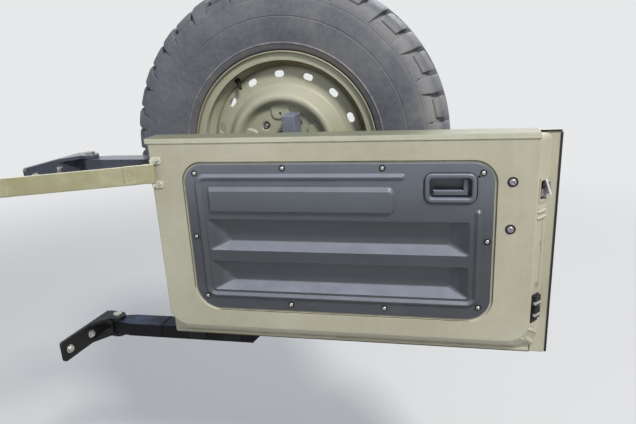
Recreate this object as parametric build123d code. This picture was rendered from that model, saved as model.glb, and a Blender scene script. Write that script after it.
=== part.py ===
# Rear door of a light utility vehicle with its spare wheel, hung on two swing arms.
# Built with the door open, as it rests on its check strap.
#
# While modelling, in millimetres: the hinge axis is the line x = 0, y = 0. +X runs along the
# open door from its hinge side to its free edge, +Y from the inner face to the outer face,
# and z = 0 is the middle of the upper swing arm. At the end everything moves so that the
# origin sits on the upper hinge bracket's seat.

import os
from math import cos, radians, sin, tan

from build123d import *

# Swing arms
ARM_D = 50.0            # tube depth, along Y
ARM_H = 35.0            # tube height
ARM_WALL = 3.0
ARM_TAPER = 44.0        # from the hinge axis to where the tube has its full depth
UPPER_REACH = 640.0     # hinge axis to the upper arm's end
PAD_T = 5.0             # pads and tabs between the arms and the door

# Door shell
DOOR_X0 = 195.0         # hinge axis to the door's hinge-side edge
DOOR_W = 863.0          # hinge-side edge to free edge
DOOR_H = 484.5          # top edge to bottom edge
DOOR_RISE = 73.5        # top edge above the upper arm's middle
DOOR_T = 55.0           # inner face to outer face
TRAY_T = 25.0           # depth of the outer tray
SHEET = 2.0             # pressed sheet
EDGE_R = 5.0            # corner radius of the outline
PAN_LEFT = 5.0          # inner pan, in from the hinge-side edge
PAN_TOP = 2.0           # inner pan, down from the top edge
FOOT_RIGHT = 16.0       # foot of the flared wall, in from the free edge
FOOT_BOTTOM = 11.5      # foot of the flared wall, up from the bottom edge
FLARE = (24.0, 25.0)    # how far the wall leans in from its foot, at the free edge and at the bottom
FOLD_R = 3.5            # rounding of the pressed folds
SEAL_W = 4.0
LIP = 9.0               # height of the capping's lips
LOCK_BOLTS = ((88.0, 95.0), (88.0, 193.5))    # in from the free edge, down from the top edge
LATCH_DROP, LATCH_H = 88.5, 51.0              # latch plate below the top edge
LATCH_IN = (3.5, 4.9)                         # in from the flared wall's fold and from its foot
SLOT_IN = (7.0, 8.4)                          # and its slot
STEP_DROP = 11.0        # first pressed step below the latch plate
GUIDE_RISE, GUIDE_H = 83.0, 63.0              # lower guide above the bottom edge
WEDGES = ((1.0, 23.5, 16.5), (27.5, 24.5, 44.0))     # top below the guide's top, height, cross pin below it
HEM_END, HEM_H, HEM_T = 33.0, 8.0, 2.0         # folded hem: its end before the free edge, height, thickness
CREASES = (-17.0, -50.0, -78.0)               # creases round the flare's bottom corner, from +X
CREASE_R, CREASE_SUNK = 4.5, 2.0

# Trim panel: its edge from the door's outline, pockets and cup from the trim's edge
TRIM_LEFT, TRIM_RIGHT, TRIM_TOP, TRIM_BOTTOM = 83.0, 121.0, 56.5, 84.5
TRIM_R = (42.0, 42.0, 48.0, 56.0)   # top hinge side, top free side, bottom free side, bottom hinge side
TRIM_T = 3.0
RECESS_D = 4.0
RECESS_GAP = 4.0
LAND_W = 14.0           # land that the trim is screwed to
POCKET_LEFT, POCKET_RIGHT = 43.0, 45.0
POCKET_R = 7.0
POCKET_D = 33.0
POCKET_SLOPE = (38.0, 5.0, 11.5)    # how far the ends, top and floor lean in to the back
POCKET_TOP, POCKET_BAR, POCKET_LOW = 124.0, 25.5, 47.5      # above, between and below the two mouths
POCKET_MORE = 2.0       # the upper mouth is this much taller
PAD_LEFT, PAD_TOP, PAD_W, PAD_HT = 51.0, 50.0, 410.0, 57.0
PAD_LIFT = 7.0
PAD_SLOPE = (9.0, 4.5, 3.0)         # how far its top, ends and bottom lean in
RIB_W, RIB_RIDGE, RIB_LIFT = 15.0, 2.4, 5.5      # rib's foot, its ridge, and its height
RIB_R = 20.0
RIB_IN = (28.5, 29.5, 28.5, 34.5)   # rib's middle in from the trim's edge: top, free side, hinge side, bottom
RIB_GAP_TOP = 183.0     # the rib stops this far short of the trim's free-side edge
RIB_GAP_SIDE = 105.0    # and starts this far below its top edge on the free side
CUP_RIGHT, CUP_TOP, CUP_W, CUP_H, CUP_D = 44.5, 31.0, 83.0, 42.0, 26.0
BEZEL_W, BEZEL_LIFT = 10.0, 6.0

# Wheel carrier
BRACE_RUN = 111.5       # length along X of the brace from the lower arm's bend to the post
POST_W = 30.0
POST_SIDE = 14.0        # post's hinge-side face, on from the wheel's middle
POST_RISE = 81.0        # post's top above the wheel's middle
POST_STEP = 30.0        # how far the post's upper end stands back from the arm's front
HUB_STAND = 45.0        # upper arm's back to the wheel's hub flat
STUD_R = 10.0

# Hinges
OPEN_DEG = 98.0
EYE_R = 17.0
PIN_R = 7.0
PIN_GAP = 0.1
EAR_GAP = 0.7
EAR_T = 8.0
EAR_RIM = 3.0           # ear's round end beyond the arm's eye
SEAT_T = 8.0
SEAT_CLEAR = 14.0       # closed arm to the bracket's plate
SEAT_Y = (-160.0, 22.0)
SEAT_MID = -100.0
BOLT_PITCH = 76.0
BOLT_HOLE_R = 5.5

# Spare wheel
WHEEL_X, WHEEL_Z = 470.0, 25.6
RIM_W = 165.0
RIM_BEFORE = 5.0        # rim's front edge before the hub flat
FLANGE_R = 220.0
FLANGE_H = 17.0
WELL_DROP = 13.0
RIM_T = 4.0
DISC_T = 5.0
BORE_R = 36.0
CLAMP_IN = 11.0         # clamp plate's edge, in from the hub flat's
HUB_FLAT_R = 97.0
CREST_R, CREST_LIFT = 118.0, 18.0
PCD, BOLTS, BOLT_R = 130.0, 5, 7.5
BOLT_TURN = 129.5       # where the first bolt hole lies, from +X
VENTS, VENT_L, VENT_W, VENT_IN = 15, 24.0, 15.0, 18.5
VENT_TURN = -3.5
WEB_R, WEB_W, WEB_LIFT = 60.0, 52.0, 3.5        # webs between the bolts: tip's radius, width, height
WEB_HOLE = 4            # the web with the small hole
TYRE_R, TYRE_W = 386.0, 196.0
VALVE_DEG = 126.4

# Check strap
STRAP_W, STRAP_T = 43.0, 2.5
BAR_R = 3.0
STRAP_GAP = 0.4
LOOP_IN = 13.0          # loop's bar, on from the door's hinge-side edge
LOOP_STAND = 9.5        # bar's middle off its seat
LEG_GAP = 2.5           # strap's edge to the loop's leg
ANCHOR_CLEAR = 40.0     # closed door's inner face to the anchor's bar
ANCHOR_Y = -205.0
ANCHOR_STAND = 16.0
ANCHOR_DROP = 13.0      # anchor's middle, below the loop's

HALF = ARM_D / 2
SKIN_Y = -HALF - PAD_T
INNER_Y = SKIN_Y - DOOR_T
RIM_Y = SKIN_Y - TRAY_T           # where the inner panel's flange meets the tray
FLANGE_Y = RIM_Y - SHEET
DOOR_X1 = DOOR_X0 + DOOR_W
DOOR_TOP = DOOR_RISE
DOOR_BOTTOM = DOOR_TOP - DOOR_H
LOWER_Z = DOOR_BOTTOM - 6.0 - ARM_H / 2
HUB_Y = HALF + HUB_STAND
TURN = OPEN_DEG - 90.0
K = 1 - cos(radians(45))


def box(x, y, z):
    # a box from three (low, high) pairs
    return Pos(sum(x) / 2, sum(y) / 2, sum(z) / 2) * Box(x[1] - x[0], y[1] - y[0], z[1] - z[0])


def outline(y, x, z, radii):
    # closed rounded outline in the plane at y; radii run from the top left corner clockwise
    (x0, x1), (z0, z1) = x, z
    a, b, c, d = radii
    p = lambda u, v: Vector(u, y, v)
    return Wire([
        Edge.make_line(p(x0 + a, z1), p(x1 - b, z1)),
        Edge.make_three_point_arc(p(x1 - b, z1), p(x1 - b * K, z1 - b * K), p(x1, z1 - b)),
        Edge.make_line(p(x1, z1 - b), p(x1, z0 + c)),
        Edge.make_three_point_arc(p(x1, z0 + c), p(x1 - c * K, z0 + c * K), p(x1 - c, z0)),
        Edge.make_line(p(x1 - c, z0), p(x0 + d, z0)),
        Edge.make_three_point_arc(p(x0 + d, z0), p(x0 + d * K, z0 + d * K), p(x0, z0 + d)),
        Edge.make_line(p(x0, z0 + d), p(x0, z1 - a)),
        Edge.make_three_point_arc(p(x0, z1 - a), p(x0 + a * K, z1 - a * K), p(x0 + a, z1)),
    ])


def plug(front, back):
    # a plug with straight walls between two outlines, each (y, x, z, radii)
    ends = []
    for y, x, z, r in (front, back):
        ends.append(outline(y, x, z, r if isinstance(r, tuple) else (r,) * 4))
    return Solid.make_loft(ends, True)


def slab(x, y, z, r):
    return plug((y[0], x, z, r), (y[1], x, z, r))


def grow(pair, d):
    return (pair[0] - d, pair[1] + d)


def more(radii, d):
    return tuple(max(r + d, 0.8) for r in radii)


def prism(points, span, across):
    # a polygon pulled along X, Y or Z; its points are given in the other two, in X, Y, Z order
    spot = {"x": lambda p: (span[0], p[0], p[1]), "y": lambda p: (p[0], span[0], p[1]),
            "z": lambda p: (p[0], p[1], span[0])}[across]
    way = {"x": (1, 0, 0), "y": (0, 1, 0), "z": (0, 0, 1)}[across]
    return extrude(make_face(Polyline(*map(spot, points), close=True)), amount=span[1] - span[0], dir=way)


def rod_z(x, y, z, r):
    return Pos(x, y, sum(z) / 2) * Cylinder(r, z[1] - z[0])


def rod_y(x, y, z, r):
    return Pos(x, sum(y) / 2, z) * Rot(90, 0, 0) * Cylinder(r, y[1] - y[0])


def turned(face):
    # an (r, y) section turned about the wheel's axle
    return Pos(WHEEL_X, 0, WHEEL_Z) * revolve(face, Axis.Y, 360)


pieces = {}

# Outer tray of the door
door_x, door_z = (DOOR_X0, DOOR_X1), (DOOR_BOTTOM, DOOR_TOP)
skin = slab(door_x, (RIM_Y, SKIN_Y), door_z, EDGE_R)
skin = fillet(skin.faces().sort_by(Axis.Y)[-1].edges(), 4.0)
skin -= slab(grow(door_x, -SHEET), (RIM_Y - 1, SKIN_Y - SHEET), grow(door_z, -SHEET), EDGE_R - SHEET)
pieces["outer_skin"] = skin

# Inner pressing: flange, flared pan and the recess that takes the trim
foot_x, foot_z = (DOOR_X0 + PAN_LEFT, DOOR_X1 - FOOT_RIGHT), (DOOR_BOTTOM + FOOT_BOTTOM, DOOR_TOP - PAN_TOP)
face_x, face_z = (foot_x[0], foot_x[1] - FLARE[0]), (foot_z[0] + FLARE[1], foot_z[1])
FOOT_R, FACE_R = (10.0, 12.0, 52.0, 50.0), (10.0, 12.0, 46.0, 44.0)
pan = plug((INNER_Y, face_x, face_z, FACE_R), (FLANGE_Y, foot_x, foot_z, FOOT_R))
pan = fillet(pan.faces().sort_by(Axis.Y)[0].edges(), FOLD_R)
pan += slab(door_x, (FLANGE_Y, RIM_Y), door_z, EDGE_R)
pan -= plug((INNER_Y + SHEET, grow(face_x, -SHEET), grow(face_z, -SHEET), more(FACE_R, -SHEET)),
            (RIM_Y, grow(foot_x, -SHEET), grow(foot_z, -SHEET), more(FOOT_R, -SHEET)))
trim_x = (DOOR_X0 + TRIM_LEFT, DOOR_X1 - TRIM_RIGHT)
trim_z = (DOOR_BOTTOM + TRIM_BOTTOM, DOOR_TOP - TRIM_TOP)
recess_x, recess_z, recess_r = grow(trim_x, RECESS_GAP), grow(trim_z, RECESS_GAP), more(TRIM_R, RECESS_GAP)
floor_y = INNER_Y + RECESS_D
pan += slab(grow(recess_x, SHEET), (INNER_Y + SHEET / 2, floor_y + SHEET), grow(recess_z, SHEET), more(recess_r, SHEET))
pan -= plug((INNER_Y - 0.5, grow(recess_x, 2.3), grow(recess_z, 2.3), more(recess_r, 2.3)),
            (floor_y, recess_x, recess_z, recess_r))
pan -= slab(grow(trim_x, -LAND_W), (INNER_Y - 1, floor_y + SHEET + 1), grow(trim_z, -LAND_W), more(TRIM_R, -LAND_W))
for dx, dz in LOCK_BOLTS:
    pan -= rod_y(DOOR_X1 - dx, (INNER_Y - 1, INNER_Y + 6), DOOR_TOP - dz, 5.0)

# Places on the flared wall at the free edge: t along it from its fold, d outwards from it
wall_a, wall_b = Vector(face_x[1], INNER_Y), Vector(foot_x[1], FLANGE_Y)
along = (wall_b - wall_a).normalized()
out = Vector(along.Y, -along.X)
WALL_T = SHEET * (out.X - out.Y)          # the wall's thickness square to its slope


def wall_block(corners, z):
    spots = [wall_a + along * t + out * d for t, d in corners]
    return prism([(q.X, q.Y) for q in spots], z, "z")


def wall_box(t, d, z):
    return wall_block(((t[0], d[0]), (t[1], d[0]), (t[1], d[1]), (t[0], d[1])), z)


# Flared wall at the free edge: latch slot, two pressed steps, a shallow channel and corner creases
wall_run = (wall_b - wall_a).length
latch_t = (LATCH_IN[0], wall_run - LATCH_IN[1])
slot_t = (SLOT_IN[0], wall_run - SLOT_IN[1])
latch_z = (DOOR_TOP - LATCH_DROP - LATCH_H, DOOR_TOP - LATCH_DROP)
slot_z = grow(latch_z, -6.0)
pan -= wall_box(slot_t, (-8, 3), slot_z)
guide_z = (DOOR_BOTTOM + GUIDE_RISE, DOOR_BOTTOM + GUIDE_RISE + GUIDE_H)
step_z = latch_z[0] - STEP_DROP
for z1 in (step_z, step_z - 14.0):
    step = wall_box((6, 27), (-0.5, 1.2), (z1 - 7.0, z1))
    pan += chamfer(step.faces().sort_by(Axis.Z)[-1].edges().sort_by(Axis.Y)[:1], 1.0)
pan -= wall_box((7, 25), (-1.0, 3), (guide_z[1] + 17.0, step_z - 24.0))
for turn in CREASES:
    way = Vector(cos(radians(turn)), 0, sin(radians(turn)))
    fold = Vector(face_x[1] - FACE_R[2], INNER_Y, face_z[0] + FACE_R[2]) + way * FACE_R[2]
    foot = Vector(foot_x[1] - FOOT_R[2], FLANGE_Y, foot_z[0] + FOOT_R[2]) + way * FOOT_R[2]
    line, inward = foot - fold, Vector(-way.X, 0.8, -way.Z).normalized() * CREASE_SUNK
    start, end = fold + line * 0.16 + inward, fold + line * 0.92 + inward
    pan += Plane(origin=(start + end) / 2, z_dir=(end - start)).location * Cylinder(CREASE_R, (end - start).length)
    pan += Pos(start) * Sphere(CREASE_R)
hem_y, hem_z = (FLANGE_Y - HEM_T, FLANGE_Y + 0.5), (door_z[0] + 1.5, door_z[0] + HEM_H)
hem = box((door_x[0] + EDGE_R, door_x[1] - HEM_END), hem_y, hem_z)
pan += fillet(hem.edges().filter_by(Axis.X).sort_by(Axis.Y)[:2], 0.9)
pieces["inner_panel"] = pan

pieces["latch_plate"] = wall_box(latch_t, (0, 1.6), latch_z) - wall_box(slot_t, (-1, 3), slot_z)
pieces["latch_case"] = wall_box(grow(slot_t, 2.0), (-16, -WALL_T - 0.2), grow(latch_z, 4.0))
blade = ((slot_t[1] - 7.5, -WALL_T - 0.2), (slot_t[1] - 2.0, -WALL_T - 0.2),
         (slot_t[1] - 3.5, 11.0), (slot_t[1] - 6.5, 11.0))
tongue = wall_block(blade, grow(slot_z, -3.0))
tongue -= wall_box((slot_t[0], slot_t[1]), (2.0, 12.0), (slot_z[0], slot_z[0] + 12.0))
tongue += wall_box((slot_t[0] + 3.0, slot_t[1] - 7.0), (-WALL_T - 0.2, 1.0), (slot_z[0] + 6.0, slot_z[0] + 22.0))
pieces["latch_tongue"] = tongue

# Lower guide: a thin back plate with two wedge blocks, each with a bright cross pin
guide = wall_box((2.5, 26.0), (0, 2.5), guide_z)
pin_at = wall_a + along * 13.5 + out * 8.0
for i, (drop, tall, pin_drop) in enumerate(WEDGES, 1):
    guide += wall_box((4.0, 23.0), (2.0, 9.0), (guide_z[1] - drop - tall, guide_z[1] - drop))
    axle = Plane(origin=(pin_at.X, pin_at.Y, guide_z[1] - pin_drop), z_dir=(along.X, along.Y, 0)).location
    guide -= axle * Cylinder(3.7, 40.0)
    pieces[f"guide_dowel_{i}"] = axle * Cylinder(3.5, 20.0)
pieces["guide_block"] = guide

# Folded capping along the top
rail_top = DOOR_TOP + SHEET
rail = prism([(INNER_Y - SHEET, DOOR_TOP - LIP), (INNER_Y, DOOR_TOP - LIP), (INNER_Y, DOOR_TOP),
              (SKIN_Y, DOOR_TOP), (SKIN_Y, DOOR_TOP - LIP), (SKIN_Y + SHEET, DOOR_TOP - LIP),
              (SKIN_Y + SHEET, rail_top), (INNER_Y - SHEET, rail_top)], (DOOR_X0, face_x[1]), "x")
outer_folds = [e for e in rail.edges().filter_by(Axis.X) if abs(e.center().Z - rail_top) < 0.01]
pieces["top_capping"] = fillet(outer_folds, SHEET * 0.9)

# Rubber edge along the free side
seal = box((DOOR_X1, DOOR_X1 + SEAL_W), (FLANGE_Y - SHEET, SKIN_Y - 10), grow(door_z, -EDGE_R * 0.5))
pieces["edge_seal"] = fillet([e for e in seal.edges().filter_by(Axis.Z) if e.center().X > DOOR_X1 + 1], 1.8)

# Moulded trim panel: flange plate, two map pockets, raised pad and rib
face_y = floor_y - TRIM_T
trim = slab(trim_x, (face_y, floor_y), trim_z, TRIM_R)
trim = fillet(trim.faces().sort_by(Axis.Y)[0].edges(), 1.5)
mouth_x = (trim_x[0] + POCKET_LEFT, trim_x[1] - POCKET_RIGHT)
back_x = grow(mouth_x, -POCKET_SLOPE[0])
back_y = face_y + POCKET_D
holes = []
mouth = (trim_z[1] - trim_z[0] - POCKET_TOP - POCKET_BAR - POCKET_LOW - POCKET_MORE) / 2
for top, tall in ((trim_z[1] - POCKET_TOP, mouth + POCKET_MORE), (trim_z[0] + POCKET_LOW + mouth, mouth)):
    mouth_z, back_z = (top - tall, top), (top - tall + POCKET_SLOPE[2], top - POCKET_SLOPE[1])
    back_r = min(9.0, 0.4 * (back_z[1] - back_z[0]))       # a low pocket has tighter corners
    trim += plug((face_y + 0.5, grow(mouth_x, TRIM_T), grow(mouth_z, TRIM_T), POCKET_R + TRIM_T),
                 (back_y + TRIM_T, grow(back_x, TRIM_T), grow(back_z, TRIM_T), back_r + TRIM_T))
    hole = plug((face_y - 0.01, mouth_x, mouth_z, POCKET_R), (back_y, back_x, back_z, back_r))
    holes.append(fillet(hole.faces().sort_by(Axis.Y)[-1].edges(), min(4.0, back_r * 0.45)))
for hole in holes:
    trim -= hole
pad_x = (trim_x[0] + PAD_LEFT, trim_x[0] + PAD_LEFT + PAD_W)
pad_z = (trim_z[1] - PAD_TOP - PAD_HT, trim_z[1] - PAD_TOP)
pad_top, pad_end, pad_low = PAD_SLOPE
pad_crown = (pad_z[0] + pad_low, pad_z[1] - pad_top)
pad = plug((face_y, pad_x, pad_z, (5.0, 15.0, 10.0, 5.0)),
           (face_y - PAD_LIFT, grow(pad_x, -pad_end), pad_crown, (3.0, 10.0, 7.0, 3.0)))
trim += fillet(pad.faces().sort_by(Axis.Y)[0].edges(), 1.5)
rib_top, rib_side, rib_hinge, rib_low = RIB_IN
rib_points = ((trim_x[1] - RIB_GAP_TOP, trim_z[1] - rib_top), (trim_x[0] + rib_hinge, trim_z[1] - rib_top),
              (trim_x[0] + rib_hinge, trim_z[0] + rib_low), (trim_x[1] - rib_side, trim_z[0] + rib_low),
              (trim_x[1] - rib_side, trim_z[1] - RIB_GAP_SIDE))
rib_path = Wire(FilletPolyline(*[(px, face_y, pz) for px, pz in rib_points], radius=RIB_R).edges())
rib_foot = rib_path.offset_2d(RIB_W / 2, kind=Kind.ARC, side=Side.BOTH)
rib_ridge = rib_path.offset_2d(RIB_RIDGE / 2, kind=Kind.ARC, side=Side.BOTH)
rib = Solid.make_loft([rib_foot, rib_ridge.moved(Location((0, -RIB_LIFT, 0)))], True)
trim += fillet(rib.faces().sort_by(Axis.Y)[0].edges(), 0.6)
cup_x = (trim_x[1] - CUP_RIGHT - CUP_W, trim_x[1] - CUP_RIGHT)
cup_z = (trim_z[1] - CUP_TOP - CUP_H, trim_z[1] - CUP_TOP)
trim -= slab(grow(cup_x, 5.0), (face_y - 10, floor_y + 1), grow(cup_z, 5.0), 9.0)
pieces["trim_panel"] = trim

# Inside release: cup with a rounded bezel, and the bent lever in it
cup = slab(grow(cup_x, BEZEL_W), (face_y - BEZEL_LIFT, face_y), grow(cup_z, BEZEL_W), 16.0)
cup += slab(grow(cup_x, 2.0), (face_y, face_y + CUP_D + 2), grow(cup_z, 2.0), 8.0)
cup -= slab(cup_x, (face_y - BEZEL_LIFT - 1, face_y + CUP_D), cup_z, 7.0)
lip_edges = cup.faces().sort_by(Axis.Y)[0].edges()
cup = fillet(lip_edges, 4.5)
pieces["handle_cup"] = cup
lever_y = (face_y + 5, face_y + 13)
pull = [(cup_x[0] + 7, cup_z[0] + 4), (cup_x[1] - 6, cup_z[0] + 4), (cup_x[1] - 6, cup_z[1] - 3),
        (cup_x[1] - 16, cup_z[1] - 3), (cup_x[1] - 16, cup_z[0] + 15), (cup_x[0] + 7, cup_z[0] + 15)]
lever = prism(pull, lever_y, "y")
lever = fillet(lever.faces().sort_by(Axis.Y)[0].edges(), 2.5)
lever += box((cup_x[1] - 15, cup_x[1] - 7), (lever_y[1] - 1, face_y + CUP_D), (cup_z[1] - 17, cup_z[1] - 7))
pieces["release_lever"] = lever

# Swing arms: box beams that taper to a hinge eye
def arm(z, end):
    plan = [(0, -EYE_R), (ARM_TAPER, -HALF), (end, -HALF), (end, HALF), (ARM_TAPER, HALF), (0, EYE_R)]
    span = (z - ARM_H / 2, z + ARM_H / 2)
    beam = prism(plan, span, "z") + rod_z(0, 0, span, EYE_R)
    x0, x1, y = ARM_TAPER + 8, end - ARM_WALL, HALF - ARM_WALL
    beam -= prism([(x0, -y), (x1, -y), (x1, y), (x0, y)], grow(span, -ARM_WALL), "z")
    return beam - rod_z(0, 0, grow(span, 1), PIN_R + PIN_GAP)


pieces["upper_arm"] = arm(0.0, UPPER_REACH)

# The lower arm is mitred to a brace of the same tube, which rises at 45 degrees to the post
post_x = (WHEEL_X + POST_SIDE, WHEEL_X + POST_SIDE + POST_W)
bend_x = post_x[0] - BRACE_RUN
mitre = tan(radians(22.5))
low, high = LOWER_Z - ARM_H / 2, LOWER_Z + ARM_H / 2
keep = [(-2 * EYE_R, low - 1), (bend_x + mitre * (ARM_H / 2 + 1), low - 1),
        (bend_x - mitre * (ARM_H / 2 + 1), high + 1), (-2 * EYE_R, high + 1)]
pieces["lower_arm"] = arm(LOWER_Z, bend_x + 60) & prism(keep, (-ARM_D, ARM_D), "y")


def brace_outline(h):
    # h is half the tube's height, outside or inside its wall
    z_mid, rise = LOWER_Z + BRACE_RUN, h / cos(radians(45))
    return [(bend_x + mitre * h, LOWER_Z - h), (post_x[0], z_mid - rise), (post_x[0], z_mid + rise),
            (bend_x - mitre * h, LOWER_Z + h)]


brace = prism(brace_outline(ARM_H / 2), (-HALF, HALF), "y")
pieces["carrier_brace"] = brace - prism(brace_outline(ARM_H / 2 - ARM_WALL), (-HALF + ARM_WALL, HALF - ARM_WALL), "y")

# Post: from the brace up to the wheel's hub flat, notched round the upper arm
post_foot = LOWER_Z + BRACE_RUN - ARM_H / 2 / cos(radians(45)) - 4
post_front, post_top = -HALF + POST_STEP, WHEEL_Z + POST_RISE
post_back = HUB_Y - WEB_LIFT - 0.3
post = prism([(-HALF, post_foot), (HALF, post_foot), (HALF, WHEEL_Z - 88), (post_back, WHEEL_Z - 60), (post_back, post_top),
              (post_front, post_top), (post_front, ARM_H / 2), (HALF, ARM_H / 2), (HALF, -ARM_H / 2),
              (-HALF, -ARM_H / 2)], post_x, "x")
post = fillet(post.edges().filter_by(Axis.Z), 3.0)
pieces["carrier_post"] = chamfer(post.faces().sort_by(Axis.Z)[-1].edges(), 1.5)

# Hub: boss on the upper arm's back with a narrow collar for the wheel, spigot in its bore, stud for the clamp nut
spigot_r = BORE_R - 2
clamp_y = (HUB_Y + DISC_T, HUB_Y + DISC_T + 8)
nut_y = (clamp_y[1], clamp_y[1] + 22)
hub = rod_y(WHEEL_X, (HALF, HUB_Y + DISC_T - 1), WHEEL_Z, spigot_r)
hub += rod_y(WHEEL_X, (HUB_Y - 6, HUB_Y), WHEEL_Z, BORE_R + 2)
hub += rod_y(WHEEL_X, (HUB_Y, nut_y[1] + 11), WHEEL_Z, STUD_R)
pieces["carrier_hub"] = hub - box(post_x, (0, post_back), (post_foot, post_top))

# Pads and tabs between the arms and the door's outer face
for i, px in enumerate((DOOR_X0 + 40, DOOR_X0 + 225, UPPER_REACH - 40), 1):
    pieces[f"arm_pad_{i}"] = slab((px - 25, px + 25), (SKIN_Y, -HALF), (-15, 15), 5.0)
for i, px in enumerate((DOOR_X0 + 41, bend_x - 43), 1):
    pieces[f"lower_tab_{i}"] = slab((px - 22, px + 22), (SKIN_Y, -HALF), (LOWER_Z - 12, DOOR_BOTTOM + 38), 8.0)

# Wheel rim: two flanges, bead seats and a drop well, as one turned section
rim = (HUB_Y - RIM_BEFORE, HUB_Y - RIM_BEFORE + RIM_W)
seat_r = FLANGE_R - FLANGE_H
well_r = seat_r - WELL_DROP
LIP_SECTION = (
    # tyre side of a flange: in from its rim radius, in from the rim's edge
    (0.0, 1.0), (0.0, 5.0), (2.5, 9.0), (7.0, 11.0), (17.0, 12.0))
near_lip = [(FLANGE_R - d, rim[0] + y) for d, y in LIP_SECTION]
far_lip = [(FLANGE_R - d, rim[1] - y) for d, y in reversed(LIP_SECTION)]
well = [(seat_r, rim[0] + 32), (well_r, rim[0] + 46), (well_r, rim[0] + 92), (seat_r, rim[0] + 110)]
AXLE_SECTION = (
    # axle side of a flange, the same way
    (1.5, 0.0), (4.0, 1.0), (4.4, 4.0), (7.5, 7.0), (17.0 + RIM_T, 8.0))
far_in = [(FLANGE_R - d, rim[1] - y) for d, y in AXLE_SECTION]
near_in = [(FLANGE_R - d, rim[0] + y) for d, y in reversed(AXLE_SECTION)]
well_in = [(seat_r - RIM_T, rim[0] + 111.5), (well_r - RIM_T, rim[0] + 93.5), (well_r - RIM_T, rim[0] + 44.5),
           (seat_r - RIM_T, rim[0] + 30.5)]
barrel = turned(make_face(Polyline(*near_lip, *well, *far_lip, *far_in, *well_in, *near_in, close=True)))
pieces["rim_barrel"] = barrel

# Wheel disc: hub flat, raised ring, sloping rim with vent holes, and coned bolt holes
edge_r = well_r - RIM_T
crest_y = HUB_Y - CREST_LIFT
foot_r = CREST_R + (edge_r - CREST_R) * 0.37       # where the sloping side meets the vented band
front = [(BORE_R, HUB_Y), (HUB_FLAT_R, HUB_Y), (CREST_R, crest_y - 12), (foot_r, HUB_Y + 26),
         (edge_r, HUB_Y + 35), (edge_r, HUB_Y + 66)]
back = [(BORE_R, HUB_Y + DISC_T), (HUB_FLAT_R - 3, HUB_Y + DISC_T), (CREST_R, crest_y - 4), (foot_r - 4, HUB_Y + 31),
        (edge_r - DISC_T, HUB_Y + 40), (edge_r - DISC_T, HUB_Y + 66)]
front_line, back_line = FilletPolyline(*front, radius=11.0), FilletPolyline(*back, radius=8.0)
ends = [Edge.make_line(Vector(*back[-1]), Vector(*front[-1])), Edge.make_line(Vector(*front[0]), Vector(*back[0]))]
disc = turned(Face(Wire(front_line.edges() + back_line.edges() + ends)))
vent_r = edge_r - VENT_IN
for i in range(VENTS):
    vent = extrude(Plane.XZ.offset(-HUB_Y - 60) * SlotOverall(VENT_L, VENT_W), amount=60)
    disc -= Pos(WHEEL_X, 0, WHEEL_Z) * Rot(0, 360 / VENTS * i + VENT_TURN, 0) * Pos(0, 0, vent_r) * vent
web_turn = lambda i: BOLT_TURN + 360 / BOLTS * (i + 0.5) - 90
bolt_angles = [radians(360 / BOLTS * i + BOLT_TURN) for i in range(BOLTS)]
bolt_spots = [(WHEEL_X + PCD / 2 * cos(a), WHEEL_Z + PCD / 2 * sin(a)) for a in bolt_angles]
for bx, bz in bolt_spots:
    disc -= rod_y(bx, (HUB_Y - 1, HUB_Y + DISC_T + 1), bz, BOLT_R)
    disc -= Pos(bx, HUB_Y + 1.4, bz) * Rot(90, 0, 0) * Cone(BOLT_R, BOLT_R + 4.5, 3.0)
for i in range(BOLTS):
    # a raised web between each two bolts, one with a small hole near its tip
    web = plug((HUB_Y + 1, (-WEB_W / 2, WEB_W / 2), (WEB_R, HUB_FLAT_R + 8), (8.0, 8.0, WEB_W / 2 - 1, WEB_W / 2 - 1)),
               (HUB_Y - WEB_LIFT, (-WEB_W / 2 + 7, WEB_W / 2 - 7), (WEB_R + 8, HUB_FLAT_R + 8), (3.0, 3.0, 12.0, 12.0)))
    at_web = Pos(WHEEL_X, 0, WHEEL_Z) * Rot(0, -web_turn(i), 0)
    if i == WEB_HOLE:
        web -= rod_y(0, (HUB_Y - 10, HUB_Y + 10), PCD / 2 + 14, 3.0)
        disc -= at_web * rod_y(0, grow((HUB_Y, HUB_Y + DISC_T), 1), PCD / 2 + 14, 3.0)
    disc += at_web * web
pieces["wheel_disc"] = disc

# Tyre carcass, hollow, seated on the rim
mid = sum(rim) / 2
ty0 = mid - TYRE_W / 2
GAP = 0.5
near = [(seat_r + GAP, rim[0] + 30), (seat_r + GAP, rim[0] + 12.6), (FLANGE_R - 6.6, rim[0] + 11.7),
        (FLANGE_R - 1.9, rim[0] + 9.7), (FLANGE_R + 0.7, rim[0] + 5.4), (FLANGE_R + 4, rim[0] - 1.5)]
bulge = (FLANGE_R + (TYRE_R - FLANGE_R) * 0.48, ty0)
shoulder = (TYRE_R - 31, ty0 + 12)
tread_edge = (TYRE_R - 8, ty0 + 25)
bead_in = (seat_r + 14, rim[0] + 30)
line_in = (bulge[0], ty0 + 10)
crown_in = (TYRE_R - 20, ty0 + 42)
flip = lambda q: (q[0], 2 * mid - q[1])
runs = [Polyline(*near), ThreePointArc(near[-1], ((near[-1][0] + bulge[0]) / 2 - 4, ty0 + 4.5), bulge),
        ThreePointArc(bulge, ((bulge[0] + shoulder[0]) / 2 + 2, ty0 + 3.5), shoulder), Line(shoulder, tread_edge),
        Line(near[0], bead_in), ThreePointArc(bead_in, ((bead_in[0] + line_in[0]) / 2 - 8, ty0 + 18), line_in),
        ThreePointArc(line_in, (line_in[0] + 42, ty0 + 17), crown_in)]
half_edges = [e for run in runs for e in run.edges()]
crowns = [*ThreePointArc(tread_edge, (TYRE_R, mid), flip(tread_edge)).edges(),
          *ThreePointArc(crown_in, (TYRE_R - 16, mid), flip(crown_in)).edges()]
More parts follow.
